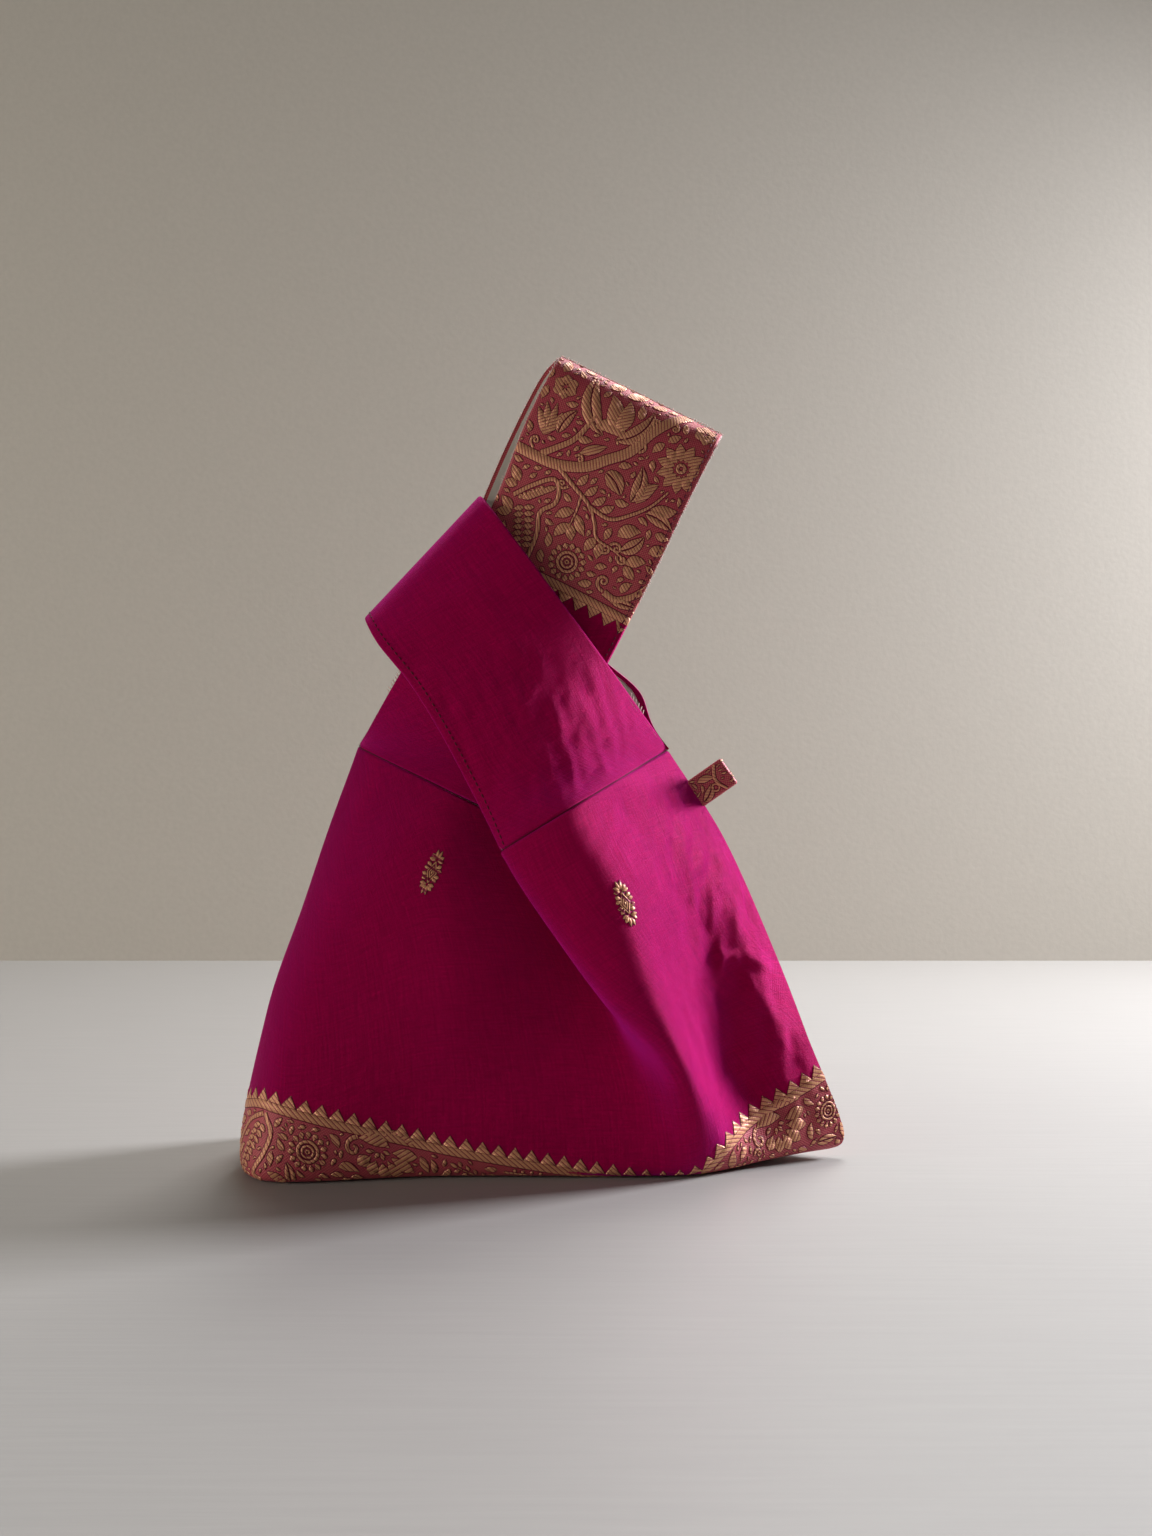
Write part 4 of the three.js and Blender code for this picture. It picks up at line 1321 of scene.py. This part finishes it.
    # pointed arch with leaf filling
    stem([(6.6, 64.4), (12.4, 58), (20.7, 52), (24, 56), (24.1, 61), (19.8, 66.6), (22.2, 75),
          (23, 88)], 2.0)
    for k in range(6):
        share = k / 5
        for side in (-1, 1):
            base = np.array([17.8 - 7 * share, 58 + 6.4 * share])
            leaf(base, base + (3.4 * side + 1.4, -1.2 * side - 2.4), 1.9)
    for k in range(7):
        base = np.array([12.8 + 0.95 * k, 67.5 + 2.4 * k])
        leaf(base, base + (4.2, -1.8), 1.9)
        leaf(base, base + (-3.8, 2.2), 1.9)
    leaf((8.6, 70), (2.2, 66.4), 3.2)
    leaf((8.8, 71), (2.4, 73), 3.2)
    leaf((7, 58.2), (1.6, 53), 3.4)
    leaf((6.6, 60), (1, 60.2), 3.2)
    # scroll at the lower right
    curl((58, 84.8), 185, 6.0, 1, 1.7)
    stem([(57.6, 84.8), (63, 85.4), (69, 81), (73.6, 74)], 3.0, 0.9)
    leaf((61, 86.4), (72.8, 84.4), 3.0, split=True)
    for seed, size in STRAP_FILL:
        relief.fill(seed, STRAP_TRIES, size)
    return relief


class KNOT_BAG_OT_strap_brocade(bpy.types.Operator):
    """Raised gold figures on both legs of the long strap"""

    bl_idname = "knot_bag.strap_brocade"
    bl_label = "Strap brocade"

    def execute(self, context):
        m = measures()
        relief = strap_figures(m)
        for side in SIDES:
            cut = long_strap_sheet(m, side)
            field = Field(cut.face(cut.dip(m.layers / 2)), cut.normals, cut.across, cut.edges["top"])
            relief.lay(f"long_strap_{side}", field, m.shift)
        return {"FINISHED"}


def palmette(relief, a, b):
    """A flower on its side: a broad back with a hooked tip, scalloped petals below and a small heart."""
    heart = np.array([a, b + 6.2])
    relief.curl(heart + (-8.4, -3.6), 165, 5.6, -1, 2.0, 1.0)
    relief.leaf(heart + (-9, -3.2), heart + (3.5, -1.8), 4.6, -0.12, 1.0, slant=CROSS_SLANT)
    relief.leaf(heart + (-1, -5.6), heart + (14, -4.6), 3.8, -0.12, 1.0, slant=CROSS_SLANT)
    for angle, reach in ((-2, 14.5), (24, 14.5), (50, 13.5), (78, 12), (108, 11), (140, 11)):
        way = direction(math.radians(angle))
        relief.leaf(heart + way * 4.6, heart + way * reach, 4.4, full=1.25, slant=CROSS_SLANT)
    for angle in (10, 65, 120):
        way = direction(math.radians(angle))
        relief.leaf(heart + way * 1.0, heart + way * 3.9, 1.5)


def border_figures(m, along, line, guides, seed):
    """Figures of the border below its teeth."""
    def at(guide):
        return float(np.interp(guide, guides, along))

    def floor(a):
        return np.interp(a, along, line) + BORDER_OVER

    start, end = BORDER_RIM, along[-1] - BORDER_RIM
    relief = Relief((start, end), (-m.tooth_height - 0.5, BORDER_DEEP), floor,
                    ground=(m.band_width, BORDER_DEEP), yarn=0.9, bold=1.15)
    leaf, stem, curl = relief.leaf, relief.stem, relief.curl
    relief.tooth_row(start, end, 0.0, m.tooth_pitch, m.tooth_height, m.band_width, way=-1)
    # paisley round the left corner
    left = at(1.75)
    stem([(left + 4, 5), (left + 8.4, 11), (left + 6.6, 20), (left + 2.4, 29), (left + 12, 31)], 2.2)
    stem([(left + 3, 5.2), (left - 6, 9), (left - 14, 18), (left - 17, 30)], 2.2)
    for k in range(9):
        base = np.array([left + 2.6 - 1.3 * k, 9.5 + 2.5 * k])
        leaf(base, base + (3.3, 2.4), 2.2)
        leaf(base, base + (-4.2, 1.2), 2.2)
    # sunflower with its leaves
    flower = at(2.33)
    relief.sunflower((flower, 14.5), 7.6)
    leaf((flower - 6, 29), (flower - 7.5, 20.5), 3.4, 0.1, split=True)
    leaf((flower - 7, 29), (flower - 15, 26), 3.4, slant=CROSS_SLANT)
    stem([(flower - 8, 31), (flower + 6, 29), (flower + 14, 26.5), (flower + 24, 25)], 1.8, 0.6)
    curl((flower + 9, 28), -70, 5.0, 1, 1.8)
    leaf((flower - 1, 29), (flower + 5.5, 24), 3.0)
    leaf((flower + 16, 26.4), (flower + 24, 21.6), 2.8)
    # palmettes
    first, second = at(2.75), at(7.55)
    palmette(relief, first - 4, 1.4)
    palmette(relief, second - 2, 2.4)
    # sprays
    relief.spray([(first + 42, 12), (first + 34, 10.5), (first + 27, 8)], 4, 3.4)
    relief.spray([(first + 45, 6.6), (first + 52, 6.4), (first + 60, 6.2)], 4, 2.8)
    curl((first + 66, 7), -40, 3.6, 1)
    relief.spray([(second - 30, 14), (second - 24, 16), (second - 17, 18)], 3, 3.2)
    curl((second - 19, 14), -60, 4.0, 1)
    # flower at the right corner
    far = at(8.45)
    relief.sunflower((far + 4, 15), 6.4)
    leaf((far - 4, 24), (far + 5, 26.5), 3.2, split=True)
    for more, size in BORDER_FILL:
        relief.fill(seed + more, BORDER_TRIES, size)
    return relief


def sprig(relief, a, b, lean):
    """A small woven sprig: nested diamonds, heart petals at their sides and a flower head at each end."""
    upright, level = math.cos(math.radians(lean)), math.sin(math.radians(lean))

    def at(x, y):
        return np.array([a + x * upright - y * level, b + x * level + y * upright])

    for size in (1.0, 0.52):
        corners = [at(0, -4.4 * size), at(1.8 * size, 0), at(0, 4.4 * size), at(-1.8 * size, 0)]
        for start, end in zip(corners, corners[1:] + corners[:1]):
            relief.ribbon([start, (start + end) / 2, end], 0.36)
    relief.leaf(at(0, -0.9), at(0, 0.9), 0.8)
    for x in (-1, 1):
        for y in (-1, 1):
            for base, tip in (((1.35, 1.5), (3.5, 1.1)), ((1.05, 2.1), (2.9, 3.5)),
                              ((0.3, 4.9), (2.9, 5.1)), ((0.4, 5.4), (2.4, 7.1))):
                relief.leaf(at(base[0] * x, base[1] * y), at(tip[0] * x, tip[1] * y), 1.7, full=1.2)
            relief.leaf(at(0.25 * x, 5.6 * y), at(0.85 * x, 9.2 * y), 1.25)


class KNOT_BAG_OT_border(bpy.types.Operator):
    """Raised gold border and sprigs on both panels"""

    bl_idname = "knot_bag.border"
    bl_label = "Woven border"

    def execute(self, context):
        m = measures()
        sheet, guides = panel_sheet(m)
        along, down, line = border_map(m, sheet, guides)
        for side, cut in zip(SIDES, (sheet, sheet.other_side())):
            face = cut.face(cut.dip(m.layers / 2))
            field = Field(face, cut.normals, along[None, :], down)
            relief = border_figures(m, along, line, guides, BORDER_SEEDS[side])
            relief.lay(f"border_{side}", field, m.shift)
            for name, x, z, first, last, lean in SPRIGS:
                part = np.s_[FOOT_ROW:, (guides >= first) & (guides <= last)]
                spot = face[part]
                field = Field(spot, cut.normals[part], spot[..., 0], -spot[..., 2])
                relief = Relief((-np.inf, np.inf), (-np.inf, np.inf), yarn=2.5)
                sprig(relief, x, -z, lean)
                relief.lay(f"{name}_{side}", field, m.shift)
        return {"FINISHED"}


# Kinds of stitch: pitch, length and thickness in mm, lean and unevenness in radians, and seed
SEAM_STITCH = (1.6, 2.6, 0.38, 0.0, 0.0, 3)
WHIP_STITCH = (1.5, 3.4, 0.5, 1.0, 0.25, 5)
FRAY = (1.2, 2.0, 0.5, 0.5, 0.9, 8)
SEAM_THREAD_DEPTH = GROOVE_DEPTH * 0.6         # how deep the thread lies in a seam's groove
SEAM_END = 5                     # columns at each end of a seam that show no thread
STITCH_SHARE = 0.72              # length of a topstitch, as a part of its pitch
SHORT_LINE = 3.4                 # topstitch to the neckline edge of the short strap, mm
LONG_LINE = 2.3                  # the same on the long strap
TURN_RADIUS = 1.0                # roundness of the edges that the stitches follow, mm
WHIP_ROWS = 8                    # rows of a strap that the whip stitches cover
KNOT_ROWS = 8                    # rows of the long strap that fray inside the knot

# Stitches along a path: inputs of the node tree, its nodes, their fixed settings, and the links between them
STITCH_INPUTS = {"Pitch": "Float", "Stitch Length": "Float", "Thread Width": "Float", "Lean": "Float",
                 "Unevenness": "Float", "Seed": "Int", "Material": "Material"}
STITCH_NODES = {
    "given": "NodeGroupInput", "result": "NodeGroupOutput", "path": "GeometryNodeMeshToCurve",
    "points": "GeometryNodeCurveToPoints", "grain": "GeometryNodeMeshUVSphere",
    "size": "ShaderNodeCombineXYZ", "shaped": "GeometryNodeTransform", "spin": "FunctionNodeRandomValue",
    "less": "ShaderNodeMath", "total": "ShaderNodeMath", "euler": "ShaderNodeCombineXYZ",
    "turned": "FunctionNodeRotateEuler", "placed": "GeometryNodeInstanceOnPoints",
    "real": "GeometryNodeRealizeInstances", "finish": "GeometryNodeSetMaterial",
}
STITCH_MODES = (("points", "mode", "LENGTH"), ("spin", "data_type", "FLOAT"),
                ("less", "operation", "MULTIPLY"), ("total", "operation", "ADD"),
                ("turned", "space", "LOCAL"))
STITCH_VALUES = (("grain", "Segments", 6), ("grain", "Rings", 5), ("grain", "Radius", 0.5), ("less", 1, -1.0))
STITCH_LINKS = (
    ("given", "Geometry", "path", "Mesh"), ("path", "Curve", "points", "Curve"),
    ("given", "Pitch", "points", "Length"), ("given", "Thread Width", "size", 0),
    ("given", "Thread Width", "size", 1), ("given", "Stitch Length", "size", 2),
    ("grain", "Mesh", "shaped", "Geometry"), ("size", 0, "shaped", "Scale"),
    ("given", "Unevenness", "less", 0), ("less", 0, "spin", 2), ("given", "Unevenness", "spin", 3),
    ("given", "Seed", "spin", "Seed"), ("spin", 1, "total", 0), ("given", "Lean", "total", 1),
    ("total", 0, "euler", 0), ("points", "Rotation", "turned", 0), ("euler", 0, "turned", "Rotate By"),
    ("points", "Points", "placed", "Points"), ("shaped", "Geometry", "placed", "Instance"),
    ("turned", 0, "placed", "Rotation"), ("placed", "Instances", "real", "Geometry"),
    ("real", "Geometry", "finish", "Geometry"), ("given", "Material", "finish", "Material"),
    ("finish", "Geometry", "result", "Geometry"),
)


def stitch_tree():
    """The node tree that lays long grains of thread along a path, turned by a lean from it."""
    found = bpy.data.node_groups.get("stitches_on_path")
    if found:
        return found
    tree = bpy.data.node_groups.new("stitches_on_path", "GeometryNodeTree")
    for way in ("INPUT", "OUTPUT"):
        tree.interface.new_socket("Geometry", in_out=way, socket_type="NodeSocketGeometry")
    for label, kind in STITCH_INPUTS.items():
        tree.interface.new_socket(label, in_out="INPUT", socket_type=f"NodeSocket{kind}")
    nodes = {name: tree.nodes.new(kind) for name, kind in STITCH_NODES.items()}
    for name, setting, value in STITCH_MODES:
        setattr(nodes[name], setting, value)
    for name, socket, value in STITCH_VALUES:
        nodes[name].inputs[socket].default_value = value
    for source, out, target, into in STITCH_LINKS:
        tree.links.new(nodes[source].outputs[out], nodes[target].inputs[into])
    return tree


def stitched(m, name, paths, material, stitch):
    """Runs the stitch tree along paths in mm and keeps the result as a plain mesh."""
    pitch, length_of_one, thick, lean, uneven, seed = stitch
    values = {"Pitch": pitch * MM, "Stitch Length": length_of_one * MM, "Thread Width": thick * MM,
              "Lean": lean, "Unevenness": uneven, "Seed": seed, "Material": material}
    points = np.concatenate(paths)
    edges = []
    start = 0
    for path in paths:
        edges += [(start + k, start + k + 1) for k in range(len(path) - 1)]
        start += len(path)
    mesh = bpy.data.meshes.new(name + "_path")
    mesh.from_pydata(((points + (m.shift, 0, 0)) * MM).tolist(), edges, [])
    guide = bpy.data.objects.new(name + "_path", mesh)
    bpy.context.scene.collection.objects.link(guide)
    tree = stitch_tree()
    modifier = guide.modifiers.new("Stitches", "NODES")
    modifier.node_group = tree
    for item in tree.interface.items_tree:
        if item.in_out == "INPUT" and item.name in values:
            modifier[item.identifier] = values[item.name]
    graph = bpy.context.evaluated_depsgraph_get()
    made = bpy.data.meshes.new_from_object(guide.evaluated_get(graph), depsgraph=graph)
    made.name = name
    obj = bpy.data.objects.new(name, made)
    bpy.context.scene.collection.objects.link(obj)
    bpy.data.objects.remove(guide)
    if not made.polygons:
        raise RuntimeError(f"{name} has no stitches")
    made.shade_smooth()
    finish_piece(obj)


def line_inside(sheet, edge, distance, rows, lift):
    """A path above the sheet that keeps a distance from its left or right edge, in mm."""
    face = sheet.face(sheet.dip(TURN_RADIUS) - lift)
    path = []
    for row in rows:
        reading = sheet.edges[edge][row]
        order = np.argsort(reading)
        path.append([np.interp(distance, reading[order], face[row, order, axis]) for axis in range(3)])
    return np.array(path)


class KNOT_BAG_OT_stitching(bpy.types.Operator):
    """Topstitches, seam threads, whip stitches and frayed threads"""

    bl_idname = "knot_bag.stitching"
    bl_label = "Stitching"

    def execute(self, context):
        m = measures()
        thread = dressed(twisted_thread, rgb("thread"), name="sewing_thread")
        fray = dressed(twisted_thread, rgb("fray"), name="frayed_thread")
        short = short_strap_sheet(m)
        front, back = (long_strap_sheet(m, side) for side in SIDES)
        count = len(front.points)
        topstitch = (m.stitch_pitch, m.stitch_pitch * STITCH_SHARE, m.thread_width, 0.0, 0.05, 3)
        lines = [line_inside(short, "left", SHORT_LINE, range(len(short.points)), lift=0.05)]
        stitched(m, "short_strap_topstitch", lines, thread, topstitch)
        lines = [line_inside(leg, "right", LONG_LINE, range(count - 3), lift=0.3) for leg in (front, back)]
        stitched(m, "long_strap_topstitch", lines, thread, topstitch)
        seams = [sheet.face(SEAM_THREAD_DEPTH)[row, SEAM_END:-SEAM_END]
                 for sheet, row in ((front, 0), (back, 0), (short, 0), (short, -1))]
        stitched(m, "strap_seams", seams, thread, SEAM_STITCH)
        # rows at the armholes, counted from the strap seams
        extra = len(SEAM_SPLITS)
        low = LONG_STEPS[0] + extra - 2
        short_low = SHORT_STEPS[0] + extra - 3
        whips = [line_inside(front, "left", 0.2, range(low, low + WHIP_ROWS), lift=0.1),
                 line_inside(short, "right", 0.2, range(short_low, short_low + WHIP_ROWS), lift=0.1)]
        stitched(m, "armhole_whip_stitches", whips, fray, WHIP_STITCH)
        # cut edges of the loop, from the knot up to the top seam and along it
        knot = extra + sum(LONG_STEPS[:3]) - KNOT_ROWS
        top = front.points[-1, 3:-3] - (0, 0, 0.2)
        edges = [line_inside(leg, edge, 0.1, range(knot, count - 2), lift=0.1)
                 for leg in (front, back) for edge in ("left", "right")]
        stitched(m, "cut_edge_frays", [top, *edges], fray, FRAY)
        return {"FINISHED"}


def area_light(name, place, size, power, tint, spread_angle):
    """A square lamp that looks at the middle of the bag."""
    lamp = bpy.data.lights.new(name, "AREA")
    lamp.size = size
    lamp.energy = power
    lamp.color = tint
    lamp.spread = spread_angle
    obj = bpy.data.objects.new(name, lamp)
    bpy.context.scene.collection.objects.link(obj)
    obj.location = place
    x, y, z = np.array(LAMP_AIM) - np.array(place)
    obj.rotation_euler = (math.atan2(math.hypot(x, y), -z), 0, math.atan2(-x, y))


def board(name, corners, material):
    """A flat rectangle of the stage from its corners in metres, row by row."""
    return make_object(name, np.array(corners) / MM, [(0, 1, 3, 2)], 0, material, {})


class KNOT_BAG_OT_stage(bpy.types.Operator):
    """Pale floor and wall, soft studio light and the camera"""

    bl_idname = "knot_bag.stage"
    bl_label = "Stage"

    def execute(self, context):
        scene = context.scene
        sides = (-STAGE_HALF, STAGE_HALF)
        table = dressed(painted_board, *TABLE, name="pale_table")
        floor = board("floor", [(x, y, -FLOOR_DROP) for y in (STAGE_FRONT, WALL_PLACE) for x in sides], table)
        plaster = dressed(painted_board, *PLASTER, name="pale_wall")
        wall = board("wall", [(x, WALL_PLACE, z) for z in (-FLOOR_DROP, STAGE_TOP) for x in sides], plaster)
        wall.visible_shadow = False      # the windows stand partly behind it
        world = bpy.data.worlds.new("studio")
        world.use_nodes = True
        background = world.node_tree.nodes["Background"]
        background.inputs["Color"].default_value = (0.95, 0.97, 1.0, 1.0)
        background.inputs["Strength"].default_value = ROOM_LIGHT
        scene.world = world
        for lamp in LAMPS:
            area_light(*lamp)
        camera = bpy.data.cameras.new("photo_camera")
        camera.sensor_width = SENSOR
        camera.lens = SENSOR * FOCAL_PIXELS / PHOTO_HEIGHT
        eye = bpy.data.objects.new("photo_camera", camera)
        eye.location = [(CAMERA[0] + measures().shift) * MM, CAMERA[1] * MM, CAMERA[2] * MM]
        eye.rotation_euler = (math.pi / 2, 0, 0)
        scene.collection.objects.link(eye)
        scene.camera = eye
        scene.view_settings.view_transform = "Standard"
        return {"FINISHED"}


OPERATORS = (KNOT_BAG_OT_body_panels, KNOT_BAG_OT_long_strap, KNOT_BAG_OT_short_strap, KNOT_BAG_OT_side_tab,
             KNOT_BAG_OT_strap_brocade, KNOT_BAG_OT_border, KNOT_BAG_OT_stitching, KNOT_BAG_OT_stage)


class KNOT_BAG_PT_sidebar(bpy.types.Panel):
    """Sidebar panel of the knot bag"""

    bl_idname = "KNOT_BAG_PT_sidebar"
    bl_label = "Knot bag"
    bl_space_type = "VIEW_3D"
    bl_region_type = "UI"
    bl_category = "Knot bag"

    def draw(self, context):
        for group in (context.scene.knot_bag_sizes, context.scene.knot_bag_colours):
            column = self.layout.column()
            for name in type(group).__annotations__:
                column.prop(group, name)
        for operator in OPERATORS:
            self.layout.operator(operator.bl_idname)


CLASSES = (KnotBagSizes, KnotBagColours, *OPERATORS, KNOT_BAG_PT_sidebar)


def register():
    """Adds the bag's sizes, colours, operators and panel to Blender."""
    for cls in CLASSES:
        bpy.utils.register_class(cls)
    bpy.types.Scene.knot_bag_sizes = bpy.props.PointerProperty(type=KnotBagSizes)
    bpy.types.Scene.knot_bag_colours = bpy.props.PointerProperty(type=KnotBagColours)


def unregister():
    """Takes them out again."""
    del bpy.types.Scene.knot_bag_colours
    del bpy.types.Scene.knot_bag_sizes
    for cls in reversed(CLASSES):
        bpy.utils.unregister_class(cls)


def main():
    register()
    for operator in OPERATORS:
        group, name = operator.bl_idname.split(".")
        getattr(getattr(bpy.ops, group), name)()


if __name__ == "__main__":
    main()
